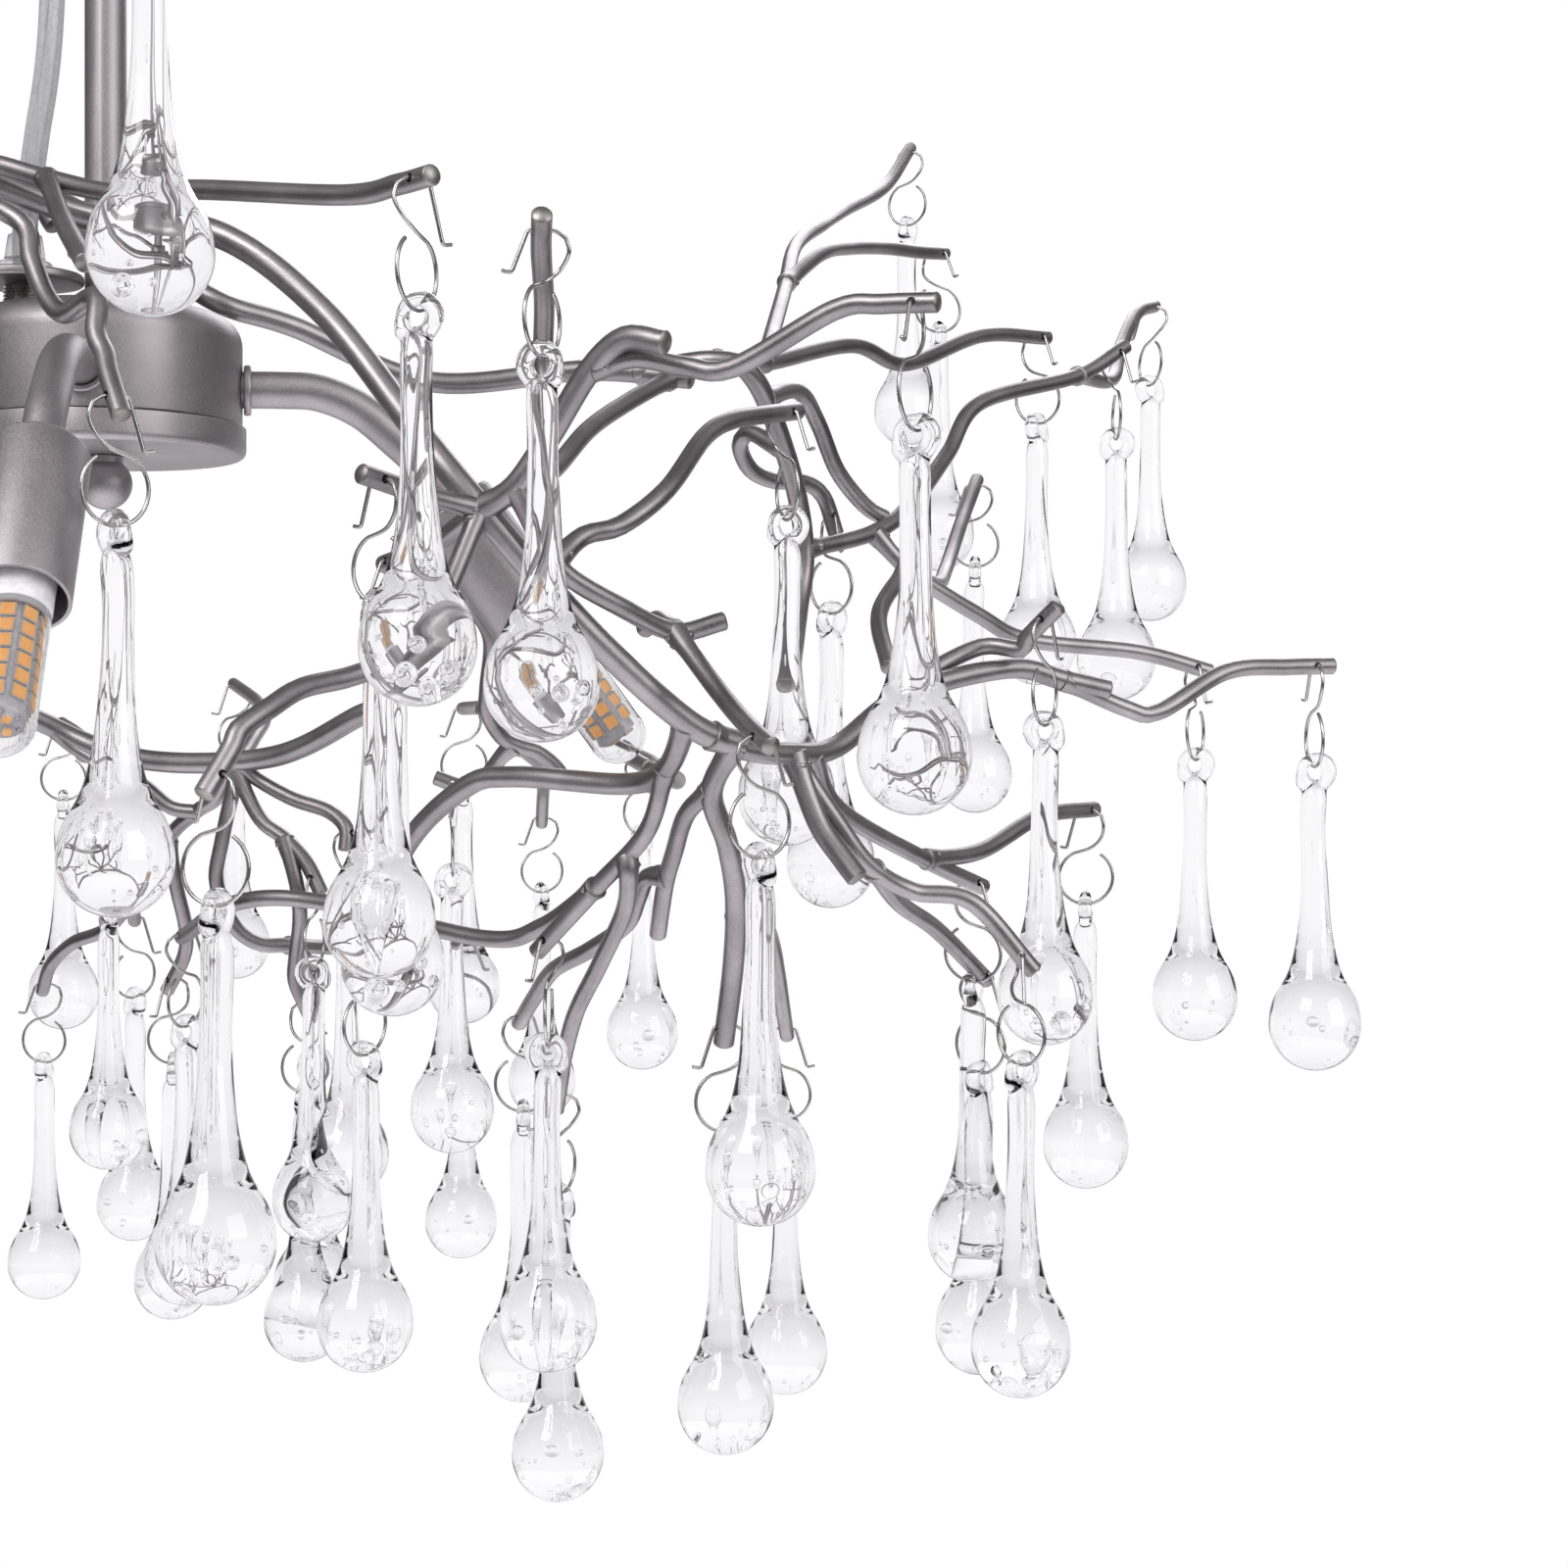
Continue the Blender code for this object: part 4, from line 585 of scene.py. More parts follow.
def make_bulb(side, frame_matrix):
    """A pin-base LED bulb: milky collar, clear capsule, and a printed board with rows of light chips."""
    def piece(kind, shape, material, nodes=(), sharp=40.0):
        show(f"bulb_{kind}_{side}", shape, [material], f"bulb_{side}", nodes, sharp)

    shoulder = -BULB_PULL_SEAT - GAP
    tip, wall, collar_end = shoulder - BULB_LENGTH, 0.9, shoulder - 26.0
    dome = arc(0.0, tip + BULB_RADIUS, BULB_RADIUS, 0, -90, 12)
    inner_dome = arc(0.0, tip + BULB_RADIUS, BULB_RADIUS - wall, -90, 0, 12)
    capsule = [(BULB_RADIUS - 0.7, collar_end + 2.0), (BULB_RADIUS - 0.1, collar_end + 1.4),
               (BULB_RADIUS - 0.1, tip + BULB_RADIUS + 0.4), *dome[:-1], (0.0, tip)]
    hollow = [(0.0, tip + wall), *inner_dome[1:], (BULB_RADIUS - wall, collar_end + 2.0)]
    capsule = Shape().add(lathe(capsule + hollow, 40, False), matrix=frame_matrix)
    piece("capsule", capsule, CAPSULE, [f"led_bulb_{side}"])
    collar = [(0.0, shoulder), (6.6, shoulder), (BULB_RADIUS - 0.5, shoulder - 1.0), (BULB_RADIUS, shoulder - 2.4),
              (BULB_RADIUS, collar_end + 3.0), (BULB_RADIUS - 0.6, collar_end), (BULB_RADIUS - 1.6, collar_end),
              (BULB_RADIUS - 1.8, shoulder - 3.0), (0.0, shoulder - 3.0)]
    collar = Shape().add(lathe(rounded(collar, 0.3), 40), matrix=frame_matrix)
    piece("collar", collar, MILKY)
    pins = Shape()
    for x in (-4.5, 4.5):
        pins.add(box_surface((0.9, 0.9, 4.0), (x, 0.0, shoulder + 2.4), bevel=0.15), matrix=frame_matrix)
    piece("pins", pins, STEEL)
    board, chips, frames = Shape(), Shape(), Shape()
    faces, core, rows = 8, 6.0, 10
    flat = core * math.cos(math.pi / faces)
    board_low, board_high = tip + 8.6, shoulder - 6.0
    profile = [(0.0, board_high), (core, board_high), (core, board_low), (0.0, board_low)]
    board.add(lathe(profile, faces), matrix=frame_matrix @ Matrix.Rotation(math.pi / faces, 4, "Z"))
    for face in range(faces):
        turn = Matrix.Rotation(2 * math.pi * face / faces, 4, "Z")
        for row in range(rows):
            height = board_low + 3.6 + row * (board_high - board_low - 8.0) / (rows - 1)
            lean = Matrix.Rotation(math.radians(RANDOM.uniform(-3, 3)), 4, "X")
            frames.add(box_surface((0.9, 3.6, 3.8), (flat + 0.4, 0.0, height), lean, 0.15), matrix=frame_matrix @ turn)
            chips.add(box_surface((0.5, 3.0, 3.2), (flat + 0.75, 0.0, height), lean, 0.12), matrix=frame_matrix @ turn)
    end = board_low - 0.6
    end_disc = rounded([(0.0, end + 0.8), (5.9, end + 0.8), (5.9, end - 0.5), (0.0, end - 0.5)], 0.2)
    board.add(lathe(end_disc, 24), matrix=frame_matrix)
    askew = Matrix.Rotation(0.4, 4, "Z")
    for x, y in ((-2.4, 1.6), (2.2, 2.2), (2.6, -1.9), (-1.8, -2.6)):
        frames.add(box_surface((3.0, 2.4, 0.8), (x, y, end - 0.9), askew, 0.15), matrix=frame_matrix)
        chips.add(box_surface((2.3, 1.8, 0.4), (x, y, end - 1.3), askew, 0.1), matrix=frame_matrix)
    piece("board", board, BOARD, sharp=30.0)
    piece("chip_frames", frames, CHIP_FRAME)
    piece("chips", chips, PHOSPHOR)
    solder = Shape()
    spots = 7
    for i in range(spots):
        angle = 2 * math.pi * i / spots + 0.3
        spot = Matrix.Translation(polar(4.6, angle, end - 0.6) * MM)
        solder.add(lathe(arc(0.0, 0.0, 0.55, 90, -90, 6), 10), matrix=frame_matrix @ spot)
    piece("solder", solder, SOLDER)


def make_lamps():
    """The three lamps: arm, sleeve and bulb."""
    for side, azimuth in LAMP_AZIMUTHS.items():
        frame_matrix, turn = lamp_frame(azimuth)
        make_arm(side, turn)
        inside, hole = SLEEVE_RADIUS - SLEEVE_WALL, ARM_RADIUS + GAP
        sleeve = [(hole, 0.0), (SLEEVE_RADIUS - 0.9, 0.0), (SLEEVE_RADIUS, -0.9), (SLEEVE_RADIUS, -SLEEVE_LENGTH),
                  (inside, -SLEEVE_LENGTH), (inside, -1.6), (hole, -1.6)]
        shape = Shape().add(lathe(rounded(sleeve, 0.3), 80, True), matrix=frame_matrix)
        show(f"sleeve_turned_{side}", shape, [PEWTER_TURNED], "root", [f"lamp_sleeve_{side}"], 50.0)
        make_bulb(side, frame_matrix)


# ---------------------------------------------------------------- boughs of welded rods

# Rods of each right-hand bough: the rod it is welded to, its radius, and its route from the weld to its far end.
RIGHT_BOUGHS = {
    "bough_right_trunk": {
        "main": (None, TRUNK, [
            (-38, -19, 72), (-25, -21, 69), (3, -23, 59), (37, -31, 53), (65, -40, 32), (89, -50, 2), (107, -55, -20),
            (133, -45, -50), (157, -30, -72), (171, -20, -78)]),
        "main_weld": ("main", TWIG, [(3, -23, 59), (1.5, -10.6, 59.5)]),
        "spur_left": ("main", TWIG, [(107, -55, -20), (94, -66, -17.5), (81, -80, -14)]),
        "spur_back": ("main", TWIG, [(107, -55, -20), (92, -34, -27), (76, -10, -30)]),
        "front_low": ("main", TWIG, [
            (107, -55, -20), (98, -66, -45), (90, -75, -57), (80, -85, -62.5), (70, -95, -65.7), (64, -102, -70.4),
            (58, -108, -75.7), (54, -111, -81), (52, -113.5, -86), (51.6, -116, -90.6)]),
    },
    "bough_right_back": {
        "behind": (None, LIMB, [
            (3.5, 13.1, 58), (14, 17, 52), (29, 14, 43), (46, 25, 39), (82, 40, 26), (126, 45, 30), (156, 34, 26)]),
        "stem": ("behind", LIMB, [
            (140, 41, 29), (163, 34, 31), (174, 38, 26), (184, 60, 3), (188, 70, -19), (186, 64, -38),
            (183, 32, -62)]),
        "cross_back": ("behind", TWIG, [
            (150, 35, 25.5), (139, 18, 17), (129.5, 0, 7), (122, -20, -6), (116, -37, -13)]),
        "back_loop": ("stem", TWIG, [(178, 42, 22), (186, 58, 26), (192, 74, 19), (198, 84, 6), (206.5, 92.5, -3.5)]),
        "curl": ("stem", TWIG, [
            (182, 55, 9), (178, 57, 11), (172, 62, 14.5), (169, 68, 11.5), (172, 76, 5.5), (179, 84, 3),
            (188, 92, 3.5), (194, 96, -0.5), (198, 98, -12)]),
        "back_right": ("stem", TWIG, [
            (163, 34, 31), (176, 70, 36), (203, 110, 48), (221, 140, 47), (248, 175, 62), (273, 203, 66)]),
        "upper": ("back_right", TWIG, [
            (176, 70, 36), (182, 150, 72), (186, 210, 99), (196, 250, 115), (205, 290, 129), (222, 340, 149),
            (234, 375, 173)]),
        "upper_side": ("upper", TWIG, [
            (183, 160, 77), (195, 190, 92.5), (206, 220, 100.5), (219, 250, 106.5), (232, 272, 109.5),
            (243, 290, 112.5)]),
    },
    "bough_right_front": {
        "spray_up": ("main", LIMB, [
            (107, -55, -20), (116, -61, -15), (125, -65, -3), (135, -70, 12), (144, -75, 19), (154, -80, 17)]),
        "spray_tip": ("spray_up", TWIG, [
            (135, -70, 12), (146, -70, 15), (158, -70, 13), (170, -75, 12), (194, -85, 24), (205, -90, 26),
            (218, -95, 24)]),
        "spray_front": ("spray_up", TWIG, [
            (125, -65, -3), (123, -61, 16), (124, -70, 28), (124, -85, 37), (126, -98, 44)]),
        "spray_low": ("spray_up", TWIG, [
            (116, -61, -15), (122, -57, -28), (128, -53, -36), (140, -46, -43), (154, -33, -49), (167, -30, -46)]),
        "spray_mid": ("spray_low", TWIG, [
            (124, -53, -33), (132, -49, -26), (141, -45, -23), (152, -35, -13), (161, -15, 3), (168, -4, 9),
            (177, 10, 12.5), (186, 24, 15.5)]),
        "cross_twig": ("spray_low", TWIG, [(154, -33, -49), (165, -45, -64), (172, -57, -75), (179, -68, -79)]),
        "cross_stub": ("spray_low", TWIG, [(154, -33, -49), (149, -18, -45), (145, -9, -47)]),
    },
    "bough_right_far": {
        "far_up": ("stem", TWIG, [
            (188, 70, -19), (209, 90, -12), (221, 106, -2), (234, 132, 17), (246, 150, 36), (281, 185, 50),
            (300, 202, 63)]),
        "far_fork": ("far_up", TWIG, [
            (281, 185, 50), (297, 220, 54), (304, 250, 70), (314, 280, 88), (324, 303, 95)]),
        "far_out": ("far_up", TWIG, [
            (209, 90, -12), (221, 92, -24), (242, 105, -36), (258, 115, -43), (294, 130, -46), (319, 139, -52)]),
        "far_back": ("far_out", TWIG, [
            (221, 92, -24), (231, 140, -24), (237, 190, -15), (245, 230, 5), (253, 262, 24)]),
        "far_link": ("far_out", TWIG, [(219, 91, -23), (210, 68, -38), (212, 44, -55)]),
    },
    "bough_right_low": {
        "low_main": ("main", LIMB, [
            (163, -26, -75), (172, -19, -79), (183, -9, -80), (196, 6, -78), (216, 25, -63), (246, 45, -55),
            (262, 51, -58), (276, 54, -61)]),
        "low_stub": ("low_main", LIMB, [(186, -9, -84), (191, -10, -98), (197, -12, -107), (201.5, -14, -113)]),
        "low_tip": ("low_main", TWIG, [
            (262, 51, -58), (281, 57, -66), (291, 60, -67), (312, 68, -55), (345, 74, -53)]),
        "low_mid": ("low_main", TWIG, [
            (216, 25, -63), (222, 36, -57), (238, 42, -49), (249, 38, -50), (255, 34, -46), (259, 30, -38)]),
        "low_back": ("low_main", TWIG, [(190, -2, -80), (197, 14, -95), (223, 60, -110), (242, 84, -119)]),
        "low_back_tip": ("low_back", TWIG, [(223, 60, -110), (241, 82, -108), (261, 105, -98), (281, 132, -96)]),
        "low_down": ("low_main", TWIG, [
            (184, -8, -80), (196, -6, -98), (205, -2, -110), (217, 5, -117), (233, 6, -120), (250, 7, -139)]),
        "low_down_back": ("low_down", TWIG, [(205, 1, -110), (214, 24, -121), (226, 50, -130), (243, 85, -147)]),
    },
    "bough_low_left": {
        "inner_main": ("main", LIMB, [
            (157, -30, -72), (151, -14, -84), (139, 4, -88), (108, 20, -86), (93, 28, -89), (74, 40, -107),
            (61, 42, -141)]),
        "behind_low": ("inner_main", TWIG, [(150, -12, -84), (152, 30, -87), (141.5, 100, -83.5), (128, 135, -76.7)]),
        "behind_far": ("behind_low", TWIG, [
            (141.5, 100, -83.5), (138.5, 180, -81.4), (132.2, 250, -79), (127.3, 308, -77.4)]),
        "inner_low": ("inner_main", TWIG, [(151, -14, -84), (145, 0, -101), (131, 12, -116), (113, 25, -135)]),
        "inner_long": ("inner_low", TWIG, [
            (131, 12, -116), (114, 32, -128), (96, 45, -132), (45, 75, -123), (16, 92, -124), (-14, 151, -138)]),
        "down_long": ("inner_low", TWIG, [
            (139.8, 3, -110), (140, 5, -113), (138, 18, -123), (130, 35, -139), (122, 52, -154), (117, 66, -170),
            (114.3, 74, -185)]),
    },
    "bough_low_down": {
        "down_front": ("main", LIMB, [
            (169, -21, -78), (163, -15, -90), (167, -8, -104), (169, 4, -119), (168, 20, -138), (165, 34, -161)]),
        "down_back": ("down_front", TWIG, [(168, 8, -124), (172, 50, -127), (178, 95, -135), (183, 162, -171)]),
        "down_stub": ("down_front", TWIG, [
            (163, -15, -89), (156, -3, -96), (152, 12, -106.7), (149, 25, -116), (146, 45, -131)]),
        "down_left": ("down_stub", TWIG, [
            (148.5, 22, -113), (144, 27, -114), (141, 34, -120), (137, 44, -128), (125, 62, -136.6),
            (113, 82, -143.7), (105.5, 100, -153.4), (99, 118, -163)]),
    },
    "bough_front_twigs": {
        "high_front": ("main", TWIG, [
            (-38, -19, 72), (-24, -29, 72), (-5, -36, 66), (15, -47, 60), (38, -60, 58), (79, -90, 50),
            (103, -115, 49)]),
        "drop_link": ("high_front", TWIG, [(-6, -36, 66), (5, -60, 50), (17, -85, 35)]),
        "front_curl": ("high_front", TWIG, [
            (-26, -28, 72), (-36, -45, 66), (-22, -62, 58), (-4, -65, 49), (0, -70, 39), (5, -75, 29),
            (10.7, -80, 24), (17.6, -85, 26.5), (21, -89, 26), (21.8, -94, 17), (24.7, -97, 11.4), (28, -101, 4.5),
            (30.8, -106, -4)]),
        "front_high": ("front_curl", TWIG, [
            (-35, -44, 66), (-48, -66, 92), (-30, -98, 122), (10, -128, 137), (53, -153, 129.3)]),
    },
}

# The back bough, on the far side of the hub, and its twigs.
BACK_BOUGHS = {
    "bough_back": {
        "back_main": (None, TRUNK, [
            (-5.8, 12.9, 62.5), (-14, 16, 70), (-32, 24, 75), (-72, 60, 62), (-108, 118, 5), (-100, 168, -45),
            (-66, 190, -69), (-32, 180, -80), (14, 160, -79), (46, 139, -66), (56, 135, -62), (70, 128, -48),
            (83, 120, -30), (89, 113, -20)]),
        "back_arch": ("back_main", TWIG, [
            (83, 120, -30), (89.6, 122, -42), (88, 128, -57), (87.5, 132, -65), (91.5, 138, -73), (97, 142, -76),
            (102, 145, -77.5), (107.5, 148, -82), (111, 150, -87)]),
        "back_arch_left": ("back_arch", TWIG, [
            (95, 141, -76), (91, 143, -79), (85, 146, -86), (78.5, 148, -89), (68.8, 148, -85.8)]),
        "back_arch_down": ("back_arch", TWIG, [
            (97, 142, -76), (99.5, 200, -82), (95.5, 264, -84), (88.5, 320, -89), (84, 360, -104)]),
        "back_arch_tip": ("back_arch", TWIG, [
            (87.5, 131, -64), (82, 170, -62.6), (72, 240, -60.6), (59.3, 300, -59.2)]),
        "back_down": ("back_main", TWIG, [
            (1.5, 168, -80), (-0.8, 168, -90), (-3.1, 170, -98), (-5.5, 172, -107.6), (-8, 175, -119),
            (-6, 178, -129), (-1.6, 180, -137.4), (6.2, 182, -142.2), (16.3, 185, -143), (21.2, 187, -149.5),
            (25.5, 189, -156.6)]),
        "back_far": ("back_down", TWIG, [(14, 185, -143), (30, 225, -146), (46, 258, -147), (61, 303, -149)]),
        "back_low": ("back_main", TWIG, [
            (1.5, 168, -80), (7.5, 167, -86.4), (20, 164, -93), (32, 162, -97), (38, 160, -102.5), (38, 159, -110)]),
        "back_right_down": ("back_down", TWIG, [
            (1, 167, -84), (8.8, 164, -99.3), (17.3, 162, -105.8), (24.8, 160, -113.8), (30.3, 158, -124)]),
        "back_right_long": ("back_right_down", TWIG, [
            (17.3, 162, -105.8), (20, 160, -114), (22.2, 160, -123.4), (22.1, 164, -133.3), (19.7, 170, -145),
            (18.6, 174, -153.5), (21, 177, -161), (23, 180, -167)]),
        "back_left": ("back_main", TWIG, [
            (0, 168, -81), (-7, 174, -92), (-16.2, 182, -97.3), (-29.7, 200, -106.5), (-46.6, 225, -126),
            (-62, 245, -140), (-79.8, 265, -146.5), (-93.7, 285, -156), (-101.7, 302, -167.5)]),
        "back_left_down": ("back_left", TWIG, [
            (-29.7, 200, -107), (-28.3, 206, -123.6), (-26.6, 212, -137.5), (-28.3, 218, -148),
            (-36.4, 226, -161.5)]),
        "back_left_far": ("back_left", TWIG, [(-48, 227, -127), (-54, 250, -132), (-60, 276, -139)]),
        "back_under": ("back_main", TWIG, [
            (-66, 190, -69), (-59.7, 190, -75.3), (-47.5, 188, -82), (-35, 184, -88), (-24.5, 182, -96),
            (-15, 181, -97.5)]),
        "back_under_tip": ("back_under", TWIG, [(-46, 188, -83), (-53, 206, -91), (-56.7, 227, -108)]),
        "back_far_left": ("back_under", TWIG, [(-56, 189, -78), (-68, 240, -74), (-85, 290, -69), (-103, 334, -64)]),
        "back_out": ("back_main", TWIG, [
            (2, 166, -80.9), (-3.7, 215, -72.6), (-9.4, 265, -63.8), (-23, 320, -56), (-43.7, 375, -46.9)]),
        "back_side": ("back_main", TWIG, [(-106, 145, -25), (-140, 160, -20), (-176, 168, -32)]),
    },
}

# The left bough takes these rods of the right one, turned about the rod, in three nodes.
LEFT_NODES = {
    "bough_left_trunk": ("main", "spray_up", "spray_tip", "spray_front", "spray_low", "spray_mid", "cross_twig",
                         "low_main", "low_tip", "low_mid", "low_back", "low_back_tip", "low_down"),
    "bough_left_back": ("behind", "stem", "back_right", "upper", "far_up", "far_fork", "far_out", "far_back"),
    "bough_left_low": ("inner_main", "inner_low"),
}
RODS = {name: (bough, *rod) for bough, rods in {**RIGHT_BOUGHS, **BACK_BOUGHS}.items() for name, rod in rods.items()}
LEFT_MAIN_START = [(-13.8, 3.2, 62.5), (-22, 6, 73), (-40, 11, 74)]
LEFT_BEHIND_START = [(-36, 10, 75), (-38, -12, 58)]


def turned_route(route, angle):
    """The route turned about the hanging rod."""
    turn = Matrix.Rotation(angle, 3, "Z")
    return [tuple(turn @ Vector(p)) for p in route]


def left_rods():
    """The left bough's rods, from the right one's."""
    rods = {}
    for bough, names in LEFT_NODES.items():
        for name in names:
            _, parent, radius, route = RODS[name]
            parent = f"left_{parent}" if parent else None
            route = turned_route(route, LEFT_TURN)
            if name == "main":
                route = LEFT_MAIN_START + route[4:]
            if name == "behind":
                parent, route = "left_main", LEFT_BEHIND_START + route[3:]
            rods[f"left_{name}"] = (bough, parent, radius, route)
    return rods


def nearest_on(route, point):
    """The nearest point to a given one on a route of points."""
    best = None
    for a, b in zip(route, route[1:]):
        span = b - a
        t = min(1.0, max(0.0, (point - a).dot(span) / max(span.length_squared, 1e-9)))
        here = a + span * t
        if best is None or (here - point).length < (best - point).length:
            best = here
    return best


# Number of each hanging drop that swings, and the rod that carries it.
PENDANTS = {1: "front_high", 2: "high_front", 3: "spray_front", 4: "front_curl", 5: "spray_tip",
            6: "down_long", 7: "front_low", 8: "cross_twig", 9: "low_mid", 10: "low_tip"}
NUMBERS = {rod: number for number, rod in PENDANTS.items()}
# Rods that end in a weld or a plain cut, with no drop.
PLAIN_ENDS = {"main", "main_weld", "behind", "stem", "cross_back", "back_loop", "spray_up", "spray_low", "low_main",
              "low_stub", "left_main", "left_behind", "left_stem", "left_spray_up", "left_spray_low", "left_low_main",
              "left_inner_main", "down_stub", "back_main", "back_arch", "back_under", "behind_low", "far_link",
              "drop_link", "cross_stub"}
# Rods that are welded at both ends: the point on the other rod where they stop.
WELDED_TO = {"cross_back": (107, -55, -20), "back_loop": (213, 97, -7)}
# How each swinging hook is bent by hand: the side its foot is on, the length of its leg, and the turn of its ring.
HOOK_BENDS = {1: (1, 10.0, 0.0), 2: (-1, 14.0, 26.0), 3: (1, 10.0, 62.0), 4: (-1, 12.5, 7.0), 5: (1, 9.9, -5.0),
              6: (-1, 10.0, 43.0), 7: (1, 11.0, 23.0), 8: (-1, 12.0, 3.0), 9: (-1, 11.0, 11.0), 10: (-1, 10.0, -2.0)}
# The same for a few of the drops that hang still.
STILL_BENDS = {"spray_mid": (1, 11.0, -35.0)}
TIP_LENGTH = 14.0                              # the straight end of a rod that has a swinging hook


def swing_of(number):
    """Where a swinging hook hangs, in millimetres from the hub's underside, and its turn about Z."""
    joint = next(j for j in frame["joints"] if j["name"] == f"hook_{number:02d}_swing")
    x, y, z = joint["pos_m"]
    return Vector((x, y, z + HUB_DROP * MM)) / MM, math.atan2(joint["axis"][1], joint["axis"][0])


def lay_rods(rods):
    """Bend every rod, its start on the axis of the rod it is welded to."""
    laid = {}
    waiting = dict(rods)
    while waiting:
        name = next(n for n, rod in waiting.items() if rod[1] is None or rod[1] in laid)
        bough, parent, radius, route = waiting.pop(name)
        points = [Vector(p) for p in route]
        if parent:
            points[0] = nearest_on(laid[parent][2], points[0])
        if name in NUMBERS:
            hole, tip = swing_of(NUMBERS[name])[0], points[-1]
            along = (tip - hole).normalized()
            points = [p for p in points[:-1] if (p - tip).length > TIP_LENGTH + 3.0] + [tip - along * TIP_LENGTH, tip]
        if name in WELDED_TO:
            points.append(Vector(WELDED_TO[name]))
        laid[name] = (bough, radius, smooth_route(points, 2.4), bool(parent))
    return laid


def rod_radii(route, radius, welded, seed):
    """A rod's radius along its route: a bead of weld at its start, and slight unevenness all along."""
    radii, travelled = [], 0.0
    for i, where in enumerate(route):
        if i:
            travelled += (where - route[i - 1]).length
        uneven = 0.012 * noise.noise(where * 0.16 + Vector((seed, 0.0, 0.0)))
        bead = 0.0
        if welded:
            lumps = 0.5 + 0.5 * noise.noise(where * 0.9 + Vector((seed, 4.0, 0.0)))
            bead = 0.34 * math.exp(-(travelled / 4.6) ** 2) * (0.75 + 0.5 * lumps)
        radii.append(radius * (1.0 + uneven + bead))
    return radii


def weld_lumps(shape, where, along, radius):
    """Small uneven lumps of weld metal around the foot of a rod."""
    side = along.orthogonal().normalized()
    other = along.cross(side)
    lumps = 5
    for i in range(lumps):
        angle = 2 * math.pi * (i + RANDOM.uniform(-0.3, 0.3)) / lumps
        spot = where + along * RANDOM.uniform(1.5, 4.2)
        spot = spot + (side * math.cos(angle) + other * math.sin(angle)) * radius * 0.72
        size = RANDOM.uniform(0.9, 1.5)
        lump = Matrix.Translation(spot * MM) @ Matrix.Rotation(RANDOM.uniform(0, 3.0), 4, "X")
        lump = lump @ Matrix.Diagonal((size * 1.5, size, size, 1.0))
        shape.add(lathe(arc(0.0, 0.0, 1.0, 90, -90, 6), 9), matrix=lump)


def tip_frame(laid, name):
    """The hook's hole near a rod's far end, in millimetres, and the turn about Z that brings X onto it."""
    if name in NUMBERS:
        return swing_of(NUMBERS[name])
    route = laid[name][2]
    along = (route[-1] - route[-3]).normalized()
    across = along.cross(Vector((0.0, 0.0, 1.0)))
    return route[-1] - along * HOLE_FROM_TIP, math.atan2(across.y, across.x)


def make_boughs(laid):
    """Every bough: its rods with their welds, cut ends and drilled holes."""
    shapes = {}
    for seed, (name, (bough, radius, route, welded)) in enumerate(laid.items()):
        surface = tube(route, rod_radii(route, radius, welded, seed), 16 if radius < TRUNK else 20, 0.45, 0.22)
        if name not in PLAIN_ENDS:
            hole, turn = tip_frame(laid, name)
            across = Matrix.Rotation(turn, 4, "Z") @ Matrix.Rotation(math.pi / 2, 4, "Y")
            surface = drilled(surface, Matrix.Translation(hole * MM) @ across, HOLE_RADIUS)
        shape = shapes.setdefault(bough, Shape()).add(surface)
        if welded:
            weld_lumps(shape, route[0], (route[2] - route[0]).normalized(), radius)
    for bough, shape in shapes.items():
        lowered = Shape().add((shape.points, shape.faces, shape.finish), matrix=DOWN)
        show(f"{bough}_rods", lowered, [PEWTER, PEWTER_CUT], "root", [bough], 42.0)


# ---------------------------------------------------------------- hooks and drops

def hook_route(side, leg, turn, wobble):
    """The bent wire: a foot, a leg up to the hole, through it, a swan neck down and round a ring."""
    ring_turn = Matrix.Rotation(math.radians(turn), 3, "Z")
    half_turn = Matrix.Rotation(math.radians(turn / 2), 3, "Z")
    foot = [(9.4 + 20.0 * wobble, 30.0 * wobble, 0.5 - leg), (7.0, 8.0 * wobble, -leg)]
    start = smooth_corners([*foot, (3.2, 0.0, 0.0), (-3.2, 0.0, 0.0), (-5.6, 0.0, -1.7)])
    neck = [Vector((-5.6, 0.0, -1.7)), Vector((-6.4, 0.0, -5.0)), half_turn @ Vector((-5.0, 0.0, -8.8)),
            ring_turn @ Vector((-1.6, -0.3, -11.9))]
    count = 30
    for i in range(count + 1):
        angle = math.radians(RING_TOP - 50.0 - (RING_SWEEP - 50.0) * i / count)
        reach = RING_RADIUS * (1.0 + wobble * math.sin(2.0 * angle))
        height = RING_CENTRE + reach * math.sin(angle)
        neck.append(ring_turn @ Vector((reach * math.cos(angle), 0.9 * i / count - 0.3, height)))
    route = start + smooth_route(neck, 1.0)[1:]
    return [Vector((side * p.x, side * p.y, p.z)) for p in route]


def smooth_corners(points, cut=0.9):
    """Straight runs with small round bends, as a wire bent over pliers."""
    points = [Vector(p) for p in points]
    route = [points[0]]
    for before, here, after in zip(points, points[1:], points[2:]):
        a, b = here + (before - here).normalized() * cut, here + (after - here).normalized() * cut
        route += [a.lerp(here, t).lerp(here.lerp(b, t), t) for t in (0.0, 0.33, 0.67, 1.0)]
    return [*route, points[-1]]


